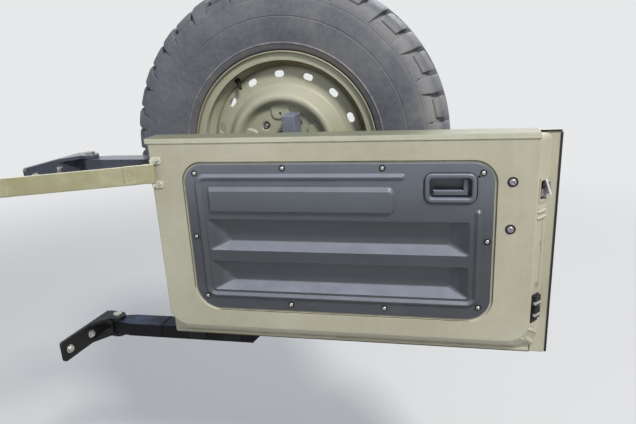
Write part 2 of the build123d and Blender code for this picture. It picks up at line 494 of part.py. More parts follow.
other = [e.mirror(Plane(origin=(0, mid, 0), z_dir=(0, 1, 0))) for e in half_edges]
pieces["tyre"] = turned(Face(Wire(half_edges + crowns + other)))

# Valve stem, standing in from the front slope of the drop well
va = radians(VALVE_DEG)
slope_mid = (seat_r + well_r) / 2 - RIM_T
valve_at = (WHEEL_X + slope_mid * cos(va), rim[0] + 37.5, WHEEL_Z + slope_mid * sin(va))
stem = Pos(0, 0, 5) * Cone(7.5, 5.0, 10) + Pos(0, 0, 16) * Cylinder(4.2, 14) + Pos(0, 0, 26) * Cylinder(3.6, 8)
barrel -= Pos(*valve_at) * Plane(origin=(0, 0, 0), z_dir=(-cos(va), -0.9, -sin(va))).location * Cylinder(7.6, 14)
pieces["rim_barrel"] = barrel
pieces["valve_stem"] = Pos(*valve_at) * Plane(origin=(0, 0, 0), z_dir=(-cos(va), -0.9, -sin(va))).location * stem

# Clamp plate behind the disc, with dowels in the bolt holes, and its nut
clamp = rod_y(WHEEL_X, clamp_y, WHEEL_Z, HUB_FLAT_R - CLAMP_IN)
for bx, bz in bolt_spots:
    dowel = rod_y(bx, (HUB_Y, clamp_y[0]), bz, BOLT_R - 0.6)
    clamp += chamfer(dowel.edges().sort_by(Axis.Y)[0], 1.5)
pieces["clamp_plate"] = clamp - rod_y(WHEEL_X, grow(clamp_y, 1), WHEEL_Z, STUD_R + 0.5)
nut = extrude(Plane.XZ.offset(-nut_y[1]) * RegularPolygon(21.0, 6), amount=nut_y[1] - nut_y[0])
pieces["clamp_nut"] = Pos(WHEEL_X, 0, WHEEL_Z) * nut - rod_y(WHEEL_X, grow(nut_y, 1), WHEEL_Z, STUD_R + PIN_GAP)

# Hinge brackets: seat plate with two bolt holes, two ears and a headed pin
body_turn = Rot(0, 0, -TURN)
plate_x = (-HALF - SEAT_CLEAR - SEAT_T, -HALF - SEAT_CLEAR)
ear_z0 = ARM_H / 2 + EAR_GAP
ear_r = EYE_R + EAR_RIM


def bracket(z):
    seat = box(plate_x, SEAT_Y, (z - ear_z0 - EAR_T, z + ear_z0 + EAR_T))
    seat = fillet(seat.edges().filter_by(Axis.X), 7.0)
    plan = [(plate_x[1], -62), (-14, -ear_r + 1), (0, -ear_r), (0, ear_r), (plate_x[1], ear_r)]
    for z0 in (z + ear_z0, z - ear_z0 - EAR_T):
        seat += prism(plan, (z0, z0 + EAR_T), "z") + rod_z(0, 0, (z0, z0 + EAR_T), ear_r)
    seat -= rod_z(0, 0, (z - 60, z + 60), PIN_R + PIN_GAP)
    for by in (SEAT_MID - BOLT_PITCH / 2, SEAT_MID + BOLT_PITCH / 2):
        seat -= Pos(plate_x[0], by, z) * Rot(0, 90, 0) * Cylinder(BOLT_HOLE_R, 4 * SEAT_T)
    return body_turn * seat


def hinge_pin(z):
    end = ear_z0 + EAR_T
    return rod_z(0, 0, (z - end - 8, z + end), PIN_R) + rod_z(0, 0, (z + end, z + end + 6), PIN_R + 4)


for name, z in (("upper", 0.0), ("lower", LOWER_Z)):
    pieces[f"{name}_bracket"] = bracket(z)
    pieces[f"{name}_pin"] = hinge_pin(z)

# Strap loops: a riveted foot at each end of a round bar
leg_z = STRAP_W / 2 + LEG_GAP + BAR_R


def strap_loop(x, bar_y, seat_y, middle):
    loop = rod_z(x, bar_y, (middle - leg_z - BAR_R, middle + leg_z + BAR_R), BAR_R)
    for z in (middle - leg_z, middle + leg_z):
        loop += slab((x - 5, x + 20), (seat_y - 3, seat_y), (z - 8, z + 8), 6.0)
        loop += box((x - 3, x + 3), (bar_y, seat_y), (z - 3, z + 3))
    return loop


bar_y = INNER_Y - LOOP_STAND
loop_x = DOOR_X0 + LOOP_IN
anchor = (INNER_Y - ANCHOR_CLEAR, ANCHOR_Y)
anchor_seat = ANCHOR_Y + ANCHOR_STAND
pieces["strap_loop"] = strap_loop(loop_x, bar_y, INNER_Y, 0.0)
holder = strap_loop(anchor[0], anchor[1], anchor_seat, -ANCHOR_DROP)
for z in (-ANCHOR_DROP - leg_z, -ANCHOR_DROP + leg_z):
    holder -= rod_y(anchor[0] + 12, (anchor_seat - 10, anchor_seat + 1), z, 3.2)
pieces["strap_anchor"] = body_turn * holder

# Check strap: webbing with an eye round each bar
a = Vector(loop_x, bar_y)
b = Vector(*anchor).rotate(Axis.Z, -TURN)
run = (b - a).normalized()
side = Vector(-run.Y, run.X)
eye_in = BAR_R + STRAP_GAP
eye_out = eye_in + STRAP_T
strap_z = (-STRAP_W / 2, STRAP_W / 2)
anchor_z = tuple(z - ANCHOR_DROP for z in strap_z)
eyes = ((a, strap_z), (b, anchor_z))
corners = ((a, strap_z[0]), (b, anchor_z[0]), (b, anchor_z[1]), (a, strap_z[1]))
flat = make_face(Polyline(*[((q + side * eye_in).X, (q + side * eye_in).Y, z) for q, z in corners], close=True))
web = extrude(flat, amount=STRAP_T, dir=side)
for q, z in eyes:
    web += rod_z(q.X, q.Y, z, eye_out)
for q, z in eyes:
    web -= rod_z(q.X, q.Y, grow(z, 1), eye_in)
pieces["check_strap"] = web

# Origin to the upper bracket's seat, then one file a piece
seat_point = Vector(plate_x[0], SEAT_MID).rotate(Axis.Z, -TURN)
os.makedirs("parts", exist_ok=True)
for name, shape in pieces.items():
    moved = Pos(-seat_point.X, -seat_point.Y, 0) * shape
    moved.label = name
    export_step(moved, f"parts/{name}.step")
print(len(pieces), "pieces")
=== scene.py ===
# %% [markdown]
# # Rear door with its spare wheel
#
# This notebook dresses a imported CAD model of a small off-road vehicle's rear door. The door hangs
# on two black swing arms, which carry the spare wheel behind it, and a webbing strap stops it. The
# CAD pieces already have their true shape and place, so the work here is finishes, plus what CAD
# leaves out: tyre tread, screws, stitching and welds.
#
# We start by loading the CAD model. It is in metres: +X runs along the open door, +Y from its inner
# face to its outer face, and +Z is up.

# %% Load the CAD model
from math import cos, hypot, pi, radians, sin, tan

import bmesh
import bpy
from mathutils import Matrix, Vector


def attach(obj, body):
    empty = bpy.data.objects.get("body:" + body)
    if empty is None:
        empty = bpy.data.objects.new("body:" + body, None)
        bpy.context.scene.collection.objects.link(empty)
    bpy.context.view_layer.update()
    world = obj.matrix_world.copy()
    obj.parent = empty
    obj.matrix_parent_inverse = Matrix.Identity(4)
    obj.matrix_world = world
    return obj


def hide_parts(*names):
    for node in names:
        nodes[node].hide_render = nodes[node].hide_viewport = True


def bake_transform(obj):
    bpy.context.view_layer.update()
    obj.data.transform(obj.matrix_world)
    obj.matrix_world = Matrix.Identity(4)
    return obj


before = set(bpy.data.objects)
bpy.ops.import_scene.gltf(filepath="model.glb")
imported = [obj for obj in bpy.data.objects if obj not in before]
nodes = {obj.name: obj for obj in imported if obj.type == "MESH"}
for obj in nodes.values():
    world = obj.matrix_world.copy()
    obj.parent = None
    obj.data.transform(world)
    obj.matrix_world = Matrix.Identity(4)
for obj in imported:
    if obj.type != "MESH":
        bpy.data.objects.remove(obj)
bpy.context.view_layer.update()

scene = bpy.context.scene

# %% [markdown]
# A small helper turns a place in millimetres from the hinge axis into the frame's metres, so the
# numbers below stay easy to read.

# %% Places measured from the hinge axis
HINGE = Vector((0.06046, 0.092486, 0.0))
MM = 0.001


def spot(x, y, z):
    return HINGE + Vector((x, y, z)) * MM


INNER_FACE, TRIM_FACE = -85.0, -84.0        # y of the door's flat inner face, and of its trim panel
print("hinge axis", HINGE[:])

# %% [markdown]
# ## Camera
#
# The camera stands where the photographer stood, a little above the door and looking down at it.
# Its place and lens were worked out from the door's straight edges and the wheel's round rim.

# %% Camera
def add(name, data):
    made = bpy.data.objects.new(name, data)
    scene.collection.objects.link(made)
    return made


optics = bpy.data.cameras.new("camera")
optics.sensor_width = 36.0
optics.lens = 31.433
optics.clip_end = 60.0
camera = add("camera", optics)
camera.location = (0.8738, -1.1035, 0.2612)
camera.rotation_euler = [radians(a) for a in (72.904, 2.813, 11.195)]
scene.camera = camera
scene.view_settings.view_transform = "Standard"
print("camera at", camera.location[:], "with a", round(optics.lens, 1), "mm lens")

# %% [markdown]
# ## Floor and light
#
# A big pale floor and a pale world stand in for a studio. Three area lamps give soft shadows: a key
# lamp high on the right, as in the photograph, a weaker one on the left, and one behind that draws
# a light edge round the tyre. The world is a little blue from above, for the glossy black paint to
# reflect.

# %% Floor
FLOOR_Z, FLOOR_HALF = -1.02, 30
signs = ((-1, -1), (1, -1), (1, 1), (-1, 1))
floor_corners = [(x * FLOOR_HALF, y * FLOOR_HALF, FLOOR_Z) for x, y in signs]
floor_mesh = bpy.data.meshes.new("floor")
floor_mesh.from_pydata(floor_corners, [], [(0, 1, 2, 3)])
floor = add("floor", floor_mesh)
print("floor", -FLOOR_Z, "m under the frame's middle")


# %% [markdown]
# ## Writing shaders as sums
#
# A material in Blender is a graph of nodes. Wiring it by hand takes many lines, so we wrap a
# node's output socket in a small class. Adding or multiplying two of these adds the Math node that
# does it, and one method, `node`, makes every other kind.

# %% A socket that can be added and multiplied
class Wire:
    """An output socket. Sums and products of it make Math nodes in the same tree."""

    def __init__(self, socket):
        self.socket = socket

    @staticmethod
    def node(tree, kind, settings=None, inputs=None, out=0):
        made = tree.nodes.new("ShaderNode" + kind)
        for name, value in (settings or {}).items():
            setattr(made, name, value)
        for name, value in (inputs or {}).items():
            if isinstance(value, Wire):
                tree.links.new(value.socket, made.inputs[name])
            else:
                made.inputs[name].default_value = value
        return Wire(made.outputs[out])

    def maths(self, operation, *others, clamp=False):
        settings = {"operation": operation, "use_clamp": clamp}
        return Wire.node(self.socket.id_data, "Math", settings, dict(enumerate((self, *others))))

    def __add__(self, other):
        return self.maths("ADD", other)

    def __sub__(self, other):
        return self.maths("SUBTRACT", other)

    def __rsub__(self, other):
        return (self * -1.0) + other

    def __mul__(self, other):
        return self.maths("MULTIPLY", other)

    __radd__, __rmul__ = __add__, __mul__

    def step(self, off, on):
        """A soft step: 0 where the value is at off or past it, 1 where it is at on or past it."""
        return Wire.node(self.socket.id_data, "MapRange", {"interpolation_type": "SMOOTHSTEP"},
                         {"Value": self, "From Min": off, "From Max": on})

    def mix(self, under, over):
        """Two colours, mixed by this value: under where it is 0, over where it is 1."""
        factor, first, second, mixed_colour = 0, 6, 7, 2      # the colour sockets of a Mix node
        shade = lambda c: c if isinstance(c, Wire) else (*c, 1.0)
        return Wire.node(self.socket.id_data, "Mix", {"data_type": "RGBA"},
                         {factor: self, first: shade(under), second: shade(over)}, mixed_colour)


# %% [markdown]
# Colours are easiest to pick as they look on a screen, from 0 to 255, but shaders work with light
# itself. This helper turns the one into the other: a straight line in the darkest shades, and a
# curve in the rest.

# %% Screen colours to light
def screen(*colour):
    return tuple(c / 255 / 12.92 if c < 11 else ((c / 255 + 0.055) / 1.055) ** 2.4 for c in colour)


print("mid grey as light", [round(c, 3) for c in screen(128, 128, 128)])


# %% [markdown]
# Every finish starts the same way: a new material, its main shader, and the place on the object as
# a texture coordinate. `Finish` keeps these together, with the few patterns that finishes share:
# clouds (noise), which way a surface faces, and where its edges are.

# %% The start of every finish
class Finish:
    def __init__(self, name, **fixed):
        self.material = bpy.data.materials.new(name)
        self.material.use_nodes = True
        self.tree = self.material.node_tree
        self.shader = self.tree.nodes["Principled BSDF"]
        self.place = Wire.node(self.tree, "TexCoord", out="Object")
        for socket, value in fixed.items():
            self.shader.inputs[socket.replace("_", " ")].default_value = value

    def node(self, kind, settings=None, inputs=None, out=0):
        return Wire.node(self.tree, kind, settings, inputs, out)

    def vector(self, operation, *values, out=0):
        return self.node("VectorMath", {"operation": operation}, dict(enumerate(values)), out)

    def clouds(self, scale, detail=3.0, roughness=0.55, stretch=None):
        place = self.vector("MULTIPLY", self.place, stretch) if stretch else self.place
        inputs = {"Vector": place, "Scale": scale, "Detail": detail, "Roughness": roughness}
        return self.node("TexNoise", None, inputs, "Fac")

    def facing(self, axis):
        """How far the surface faces along X, Y or Z, from -1 to 1."""
        return self.node("SeparateXYZ", None, {0: self.node("NewGeometry", out="Normal")}, axis)

    def along(self, axis):
        """How far a place is along X, Y or Z, in metres."""
        return self.node("SeparateXYZ", None, {0: self.place}, axis)

    def rounded(self, radius):
        """The way the surface faces, with its edges rounded off by a radius."""
        return self.node("Bevel", {"samples": 4}, {"Radius": radius})

    def edges(self, radius):
        """1 on edges sharper than the radius can follow, 0 on flats."""
        flat = self.node("NewGeometry", out="Normal")
        same = self.vector("DOT_PRODUCT", self.rounded(radius), flat, out="Value")
        return (1.0 - same).step(0.01, 0.12)

    def lay(self, mask, colour):
        """Lays a colour over the ones before it, where the mask is 1."""
        self.tone = mask.mix(self.tone, colour)

    def done(self, roughness, height, strength, distance, radius=None):
        """Joins it all up, with a small relief over edges that are rounded off by a radius."""
        inputs = {"Height": height, "Strength": strength, "Distance": distance}
        if radius:
            inputs["Normal"] = self.rounded(radius)
        bump = self.node("Bump", None, inputs)
        ends = {"Base Color": self.tone, "Roughness": roughness, "Normal": bump}
        for socket, wire in ends.items():
            self.tree.links.new(wire.socket, self.shader.inputs[socket])
        print("finish:", self.material.name, "of", len(self.tree.nodes), "nodes")
        return self.material


# %% [markdown]
# The background is pale because of its colour, not because of more light. Light Path tells the
# floor and the world which ray has reached them. Rays from the camera, and those that a glossy or
# clear surface sends on, find an even haze. All the other rays, which light the object, find a
# softer grey daylight.

# %% Floor finish and world
HAZE = (0.80, 0.81, 0.82)


def looking(tree):
    """1 for a ray that shows the background, 0 for one that lights the object."""
    seen, glossy, clear = [Wire.node(tree, "LightPath", out=f"Is {kind} Ray")
                           for kind in ("Camera", "Glossy", "Transmission")]
    return (seen + glossy).maths("ADD", clear, clamp=True)


ground = Finish("studio floor", Roughness=0.9)
ground.shader.inputs["Base Color"].default_value = (*screen(188, 188, 187), 1.0)
away = ground.vector("LENGTH", ground.place, out="Value")
glow = ground.node("Emission", None, {"Color": (*HAZE, 1.0)})
plain = Wire(ground.shader.outputs[0])
haze = away.step(1.6, 5.0) * looking(ground.tree)
blended = ground.node("MixShader", None, {0: haze, 1: plain, 2: glow})
surface = ground.tree.nodes["Material Output"].inputs["Surface"]
ground.tree.links.new(blended.socket, surface)
floor_mesh.materials.append(ground.material)

world = bpy.data.worlds.new("studio")
scene.world = world
world.use_nodes = True
sky = world.node_tree
background = sky.nodes["Background"]
direction = Wire.node(sky, "TexCoord", out="Generated")
height = Wire.node(sky, "SeparateXYZ", None, {0: direction}, out="Z")
daylight = height.step(-0.1, 0.7).mix((0.32, 0.32, 0.32), (0.52, 0.57, 0.66))
sky.links.new(looking(sky).mix(daylight, HAZE).socket, background.inputs["Color"])
background.inputs["Strength"].default_value = 1.0
print("world of", len(sky.nodes), "nodes")


# %% Lamps
DOOR_MIDDLE = Vector((0.55, 0.1, -0.05))


def softbox(name, place, width, tall, watts, tint):
    """An area lamp that points at the door's middle."""
    data = bpy.data.lights.new(name, "AREA")
    data.shape, data.size, data.size_y = "RECTANGLE", width, tall
    data.energy, data.color = watts, tint
    lamp = add(name, data)
    lamp.location = place
    lamp.rotation_euler = (DOOR_MIDDLE - Vector(place)).to_track_quat("-Z", "Y").to_euler()
    print(name, "of", watts, "W")


softbox("key lamp", (2.7, -2.1, 3.3), 0.8, 0.8, 215, (1.0, 0.98, 0.94))
softbox("left lamp", (-2.6, -2.2, 1.2), 2.0, 2.0, 20, (0.94, 0.97, 1.0))
softbox("back lamp", (1.8, 3.0, 2.4), 1.8, 1.2, 80, (1.0, 0.99, 0.96))

# %% [markdown]
# ## Paint
#
# Field paint is matt olive drab, and never one flat colour: dust settles on it in clouds, rain
# leaves faint streaks, and on the edges it wears through to a darker primer. A Bevel node rounds
# the edges, in the shading only, which is enough to give each fold its thin highlight. One helper
# makes every olive finish. It can take a darker colour for what faces up, a painted shade on the
# capping's top, and a function that adds darker marks: a real stain on the door, and painted shade
# in the wheel's well.

# %% Olive paint
def field_paint(name, colour, dust_and_sheen_colour, roughness, shaded_top=None, stains_and_shade=None):
    paint = Finish(name, IOR=1.45)
    broad = paint.clouds(3.2, 4.0)
    fine = paint.clouds(38.0, 5.0, 0.65)
    streaks = paint.clouds(6.0, 3.0, 0.6, stretch=(9.0, 9.0, 0.8))
    up = paint.facing("Z").step(0.2, 0.9)
    worn = paint.edges(0.0022) * paint.clouds(24.0, 4.0).step(0.5, 0.62)
    dust_and_light = (broad.step(0.38, 0.76) * 0.34 + streaks.step(0.5, 0.85) * 0.14) * (0.7 + fine * 0.4)
    dark = tuple(c * 0.90 for c in colour)
    paint.tone = (fine * 0.5 + broad * 0.5).step(0.35, 0.65).mix(dark, colour)
    paint.lay(dust_and_light, dust_and_sheen_colour)
    # Up-facing colour: dust by default; the capping passes a darker colour, a painted shade on its
    # top face.
    paint.lay(up * (0.9 if shaded_top else 0.5), shaded_top or dust_and_sheen_colour)
    # Darker marks: a real stain on the door, painted shade on the wheel.
    if stains_and_shade:
        paint.lay(stains_and_shade(paint) * (0.4 + fine), screen(98, 88, 62))
    paint.lay(worn * 0.55, screen(92, 88, 70))
    peel = paint.clouds(420.0, 2.0, 0.5) * 0.6 + paint.clouds(60.0, 2.0) * 0.7
    return paint.done(roughness + dust_and_light * 0.22 + fine * 0.08, peel, 0.16, 0.0006, 0.0012)


def latch_stain(paint):
    """A brown drip mark on the free edge's wall, above the lower guide."""
    away = paint.vector("DISTANCE", paint.place, tuple(spot(1030, -72, -246)), out="Value")
    return (1.0 - away.step(0.003, 0.011)) * 0.55


olive = field_paint("olive paint", screen(168, 164, 143), screen(192, 188, 174), 0.42,
                    stains_and_shade=latch_stain)
# Dark paint for the painted shadow lines under the hem and round the recess.
shadow_line_paint = field_paint("shadow line paint", screen(76, 72, 50), screen(98, 92, 68), 0.7)
# The capping's top face is darkened: painted shade.
capping_paint = field_paint("capping paint", screen(178, 176, 156), screen(194, 192, 178), 0.36,
                            shaded_top=screen(116, 118, 100))
loop_paint = field_paint("worn loop paint", screen(196, 194, 172), screen(216, 213, 198), 0.30)

# %% [markdown]
# The wheel wears the same paint, with painted shade in two places that follow the distance from the
# axle: the crease under the flange's rolled lip, and the drop well behind it. The well is only
# darkened where its wall faces down or back to the hinge, the side that the flange keeps in shadow.

# %% Wheel paint
WHEEL_X, WHEEL_Y, WHEEL_Z = 470.0, 147.5, 25.6      # the tyre's middle


def from_axle(finish):
    """How far a place is from the wheel's axle, in metres."""
    arm = finish.vector("SUBTRACT", finish.place, tuple(spot(WHEEL_X, WHEEL_Y, WHEEL_Z)))
    return finish.vector("LENGTH", finish.vector("MULTIPLY", arm, (1.0, 0.0, 1.0)), out="Value")


# Painted shade: darkens the drop well's wall where it faces down or towards the hinge, and the
# crease under the flange's lip.
def painted_well_shade(paint):
    radius = from_axle(paint)
    behind = paint.along("Y").step(0.164, 0.169)
    shaded_side = (paint.facing("Z") * 0.8 + paint.facing("X") * 0.5).step(-0.05, -0.55)
    well_shade = radius.step(0.1845, 0.188) * behind * shaded_side * 0.95
    crease_shade = radius.step(0.2135, 0.2152) * radius.step(0.2182, 0.2168) * (1.0 - behind) * 0.8
    return well_shade + crease_shade


# The wheel's darker marks are painted shade.
wheel_olive = field_paint("wheel paint", screen(160, 159, 138), screen(176, 174, 158), 0.42,
                          stains_and_shade=painted_well_shade)


# %% [markdown]
# ## Black gloss, plastic and rubber
#
# The swing arms are painted black over smooth tube. The upper one is glossy and shows mostly the
# sky, so its black is painted a blue-grey, a painted reflection of the sky, under a clear coat with
# only faint ripples. The lower one, in the shade, stays near black, and the post's black is painted
# a paler blue-grey, a painted sky reflection too. Where they face up they are paler: dust, and on
# the arms and the post a painted bluish sky reflection. One helper makes all four blacks.

# %% Black gloss paint
def black_paint(name, deep, pale, dust_and_sheen_colour, dust_and_sheen_most, roughness, **fixed):
    paint = Finish(name, IOR=1.5, **fixed)
    fine = paint.clouds(55.0, 4.0)
    broad = paint.clouds(9.0, 3.0)
    # Up-facing layer: dust, and with the bluish colours of the arms and post a painted sky
    # reflection.
    dust_and_light = paint.facing("Z").step(0.3, 0.95) * paint.clouds(16.0, 4.0).step(0.25, 0.75)
    worn = paint.edges(0.0016) * paint.clouds(31.0, 3.0).step(0.52, 0.6)
    paint.tone = (fine * 0.6 + broad * 0.4).mix(deep, pale)
    paint.lay(dust_and_light * dust_and_sheen_most, dust_and_sheen_colour)
    paint.lay(worn * 0.6, screen(105, 98, 88))
    ripples = paint.clouds(140.0, 2.0) + paint.clouds(22.0, 2.0) * 1.5
    return paint.done(roughness + fine * 0.1 + dust_and_light * 0.2, ripples, 0.10, 0.0006, 0.0016)


# Gloss black: its grey base and bluish top are a painted reflection of the sky.
gloss = black_paint("gloss black", screen(54, 58, 66), screen(76, 81, 92), screen(126, 134, 152),
                    0.8, 0.22, Coat_Weight=0.35, Coat_Roughness=0.1)
# Arm black: its bluish top is a painted sky reflection.
arm_black = black_paint("arm black", screen(4, 4, 6), screen(9, 9, 12), screen(70, 84, 112),
                        0.85, 0.42, Specular_IOR_Level=0.2)
black = black_paint("satin black", screen(9, 9, 10), screen(19, 19, 21), screen(52, 53, 56),
                    0.6, 0.42, Specular_IOR_Level=0.25)
# Post: its pale blue-grey is a painted sky reflection.
post_grey = black_paint("black with painted sky sheen", screen(94, 99, 112), screen(120, 125, 138),
                        screen(146, 152, 164), 0.6, 0.36, Specular_IOR_Level=0.4)

# %% [markdown]
# The trim panel is moulded plastic. Voronoi cells with soft walls make its fine leather-like
# grain. It is paler and bluer towards the top and where it faces up: dust, and a painted sheen of
# the sky. It is paler where its pockets are deep, because dust lies there, and duller in the
# creases at the pockets' corners. Rubber is near black, with a little fine noise.

# %% Moulded plastic
def moulded_plastic():
    trim = Finish("moulded plastic", IOR=1.5)
    cells = {"Vector": trim.place, "Scale": 620.0}
    grain = trim.node("TexVoronoi", {"feature": "SMOOTH_F1"}, cells, "Distance")
    broad = trim.clouds(5.0, 4.0)
    scuffs = trim.clouds(14.0, 5.0, 0.7, stretch=(1.0, 1.0, 3.2)).step(0.55, 0.78)
    up = trim.facing("Z").step(0.35, 0.9)
    rubbed = trim.edges(0.0025)
    trim.tone = broad.mix(screen(50, 52, 56), screen(68, 71, 76))
    # Paler and bluer towards the top: dust, and a painted sky sheen.
    high = trim.along("Z").step(-0.16, 0.03)
    trim.lay(high * (0.35 + broad * 0.7), screen(104, 110, 119))
    deep = trim.along("Y").step(0.018, 0.036) * (0.4 + broad * 0.5)
    trim.lay(deep, screen(92, 92, 98))
    trim.lay(scuffs * 0.3, screen(100, 100, 102))
    # Up-facing faces go a pale blue-grey: dust, and a painted sky reflection.
    trim.lay(up * (0.5 + trim.clouds(30.0, 4.0) * 0.5), screen(140, 145, 157))
    trim.lay(rubbed * 0.10, screen(140, 143, 152))
    creases = trim.facing("X").step(0.12, 0.4) * trim.facing("Z").step(0.1, 0.4)
    dulled = scuffs * 0.2 + rubbed * 0.18 + creases * 0.4
    return trim.done(0.30 + dulled, grain * 0.9 + broad * 0.3, 0.22, 0.0004, 0.0007)


trim_plastic = moulded_plastic()


# %% Plain rubber
def plain_rubber():
    rubber = Finish("plain rubber", IOR=1.45)
    fine = rubber.clouds(70.0, 4.0)
    rubber.tone = fine.mix(screen(17, 17, 17), screen(32, 31, 30))
    return rubber.done(0.62 + fine * 0.2, rubber.clouds(300.0, 2.0), 0.2, 0.0005)


seal_rubber = plain_rubber()

# %% [markdown]
# ## Plated steel
#
# Screws, pins and the latch's blade are zinc plated. Zinc is a metal finish with soft grey
# mottling, and a little brown where it has been rained on. The lock's bolts and the latch's tongue
# have lost their shine to road grime, so they get a duller steel.

# %% Zinc plate
def zinc_plate(name, deep, pale, metallic=1.0):
    zinc = Finish(name, Metallic=metallic)
    mottle = zinc.clouds(160.0, 4.0, 0.6)
    stain = zinc.clouds(48.0, 4.0).step(0.56, 0.72)
    zinc.tone = mottle.mix(deep, pale)
    zinc.lay(stain * 0.5, screen(128, 104, 76))
    return zinc.done(0.26 + mottle * 0.14 + stain * 0.25, mottle, 0.15, 0.0004, 0.0006)


new_zinc = zinc_plate("zinc plate", screen(168, 167, 162), screen(208, 207, 202))
bright_zinc = zinc_plate("rubbed zinc", screen(206, 208, 208), screen(236, 238, 236), 0.5)


# %% Dull steel
def dull_steel():
    steel = Finish("dull steel", Metallic=0.75)
    mottle = steel.clouds(210.0, 4.0, 0.65)
    grime = steel.clouds(60.0, 4.0).step(0.48, 0.7)
    steel.tone = mottle.mix(screen(128, 124, 134), screen(176, 172, 180))
    steel.lay(grime * 0.6, screen(84, 76, 70))
    return steel.done(0.3 + grime * 0.35, mottle, 0.2, 0.0003, 0.0005)


grimy_steel = dull_steel()

# %% [markdown]
# ## Dressing the CAD pieces
#
# A CAD piece whose shape is right only needs its finish. One table says which piece gets which. The
# tyre and the strap aren't in it, because they are built anew below.

# %% Finishes of the CAD pieces
WEARS = {
    olive: ("outer_skin", "inner_panel", "latch_plate"),
    capping_paint: ("top_capping",),
    loop_paint: ("strap_loop", "strap_anchor"),
    wheel_olive: ("rim_barrel", "wheel_disc"),
    gloss: ("upper_arm", "upper_bracket"),
    arm_black: ("lower_arm", "carrier_brace"),
    black: ("carrier_hub", "lower_tab_1", "lower_tab_2", "guide_block", "lower_bracket",
            "clamp_plate", "latch_case"),
    post_grey: ("carrier_post",),
    trim_plastic: ("trim_panel", "handle_cup", "release_lever"),
    seal_rubber: ("edge_seal", "arm_pad_1", "arm_pad_2", "arm_pad_3", "valve_stem"),
    grimy_steel: ("latch_tongue",),
    new_zinc: ("guide_dowel_1", "guide_dowel_2", "upper_pin", "lower_pin", "clamp_nut"),
}
for finish, names in WEARS.items():
    for name in names:
        nodes[name].data.materials.clear()
        nodes[name].data.materials.append(finish)
print(sum(len(names) for names in WEARS.values()), "CAD pieces dressed")

# %% [markdown]
# Square tube has rounded corners, and on glossy paint they show as long bright lines. A Bevel
# modifier rounds the arms' edges without touching the CAD mesh under it.

# %% Rounded tube edges
TUBE_CORNER = 3.5
for name in ("upper_arm", "lower_arm", "carrier_brace"):
    rounding = nodes[name].modifiers.new("tube corner", "BEVEL")
    rounding.width, rounding.segments, rounding.limit_method = TUBE_CORNER * MM, 3, "ANGLE"
    rounding.angle_limit = radians(60)
    rounding.harden_normals = True
print("tube corners rounded to", TUBE_CORNER, "mm")

# %% [markdown]
# ## Building pieces from their corners
#
# The other details are meshes, made from lists of corners and faces. `build` makes such a mesh,
# lets it ride on the door or the body side, and shades it smooth but for edges that are sharper
# than a given angle. Most details are rows of rings with the same number of corners, and
# `join_rings` adds the faces between those.

# %% A piece from corners and faces
def build(name, corners, faces, finish, sharp, body="door"):
    mesh = bpy.data.meshes.new(name)
    mesh.from_pydata([tuple(c) for c in corners], [], faces)
    work = bmesh.new()
    work.from_mesh(mesh)
    bmesh.ops.recalc_face_normals(work, faces=work.faces)
    work.to_mesh(mesh)
    work.free()
    mesh.shade_smooth()
    mesh.set_sharp_from_angle(angle=radians(sharp))
    mesh.materials.append(finish)
    made = add(name, mesh)
    if body:
        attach(made, body)
    print(name + ":", len(corners), "corners,", len(faces), "faces")
    return made


def join_rings(faces, first, sides, rings, closed=False):
    """Adds the faces between rings. Closed, the last joins the first."""
    for k in range(rings if closed else rings - 1):
        a, b = first + k * sides, first + (k + 1) % rings * sides
        faces += [(a + i, a + (i + 1) % sides, b + (i + 1) % sides, b + i) for i in range(sides)]


def closed_tube(faces, first, sides, rings):
    """Joins rings and puts a flat face over each end."""
    join_rings(faces, first, sides, rings)
    last = first + (rings - 1) * sides
    faces += [tuple(range(first, first + sides)), tuple(reversed(range(last, last + sides)))]


def once_round(sides):
    """The angle of each corner of a round section."""
    return [2 * pi * i / sides for i in range(sides)]


# %% [markdown]
# ## Tyre
#
# The tyre is a bar-tread type for mud: heavy lugs that run over the shoulder, with deep notches
# between them, a low block in each gap and a zigzag rib round the middle. A displacement texture
# would make these edges soft, so the tread is built as a mould makes it: a plain turned carcass,
# and closed blocks that stand on it. Both follow half sections, in which each place is a radius and
# a distance from the middle.

# %% The tyre's half section
PITCHES = 22               # lugs on each side
TREAD_TOP = ((386, 0), (385.3, 25), (383, 48), (378, 66), (371.5, 77.5), (363, 85.5), (354, 91),
             (345, 94), (334.5, 95.6))
TREAD_BASE = ((370, 0), (369.5, 25), (367, 48), (362, 63.5), (356.5, 74.5), (351, 82), (346, 88),
              (341, 92), (334, 95.2))
SIDEWALL = ((324, 96.7), (312, 97.5), (302, 97.9), (295, 97.5), (294, 96.6), (292.5, 96.5),
            (291.5, 97.2), (284, 96.6), (272, 95.4), (258, 93.0), (246, 90.6), (239.5, 89.2),
            (238, 90.0), (236, 89.8), (234.5, 88.1), (228, 86.2), (224, 84.0))
BEAD = ((220.7, 77.1), (218.1, 72.8), (213.4, 70.8), (203.5, 69.9), (203.5, 52.5))
LINER = ((217, 52.5), (240, 69), (268, 81), (299.7, 88), (328, 84), (344, 72), (357, 54), (365, 28),
         (366, 0))
print("tyre", 2 * TREAD_TOP[0][0], "mm across")


def on_wheel(turn, radius, across):
    """A place on the wheel: degrees round it, radius, distance in front of the tyre's middle."""
    a = radians(turn)
    return spot(WHEEL_X + radius * cos(a), WHEEL_Y - across, WHEEL_Z + radius * sin(a))


# %% Carcass
def turned(corners, faces, section, steps, swing=(0,)):
    """Adds a closed section, turned round the wheel's axle. A swing moves it from side to side."""
    first = len(corners)
    for i in range(steps):
        corners += [on_wheel(360.0 * i / steps, r, d + swing[i % len(swing)]) for r, d in section]
    join_rings(faces, first, len(section), steps, closed=True)


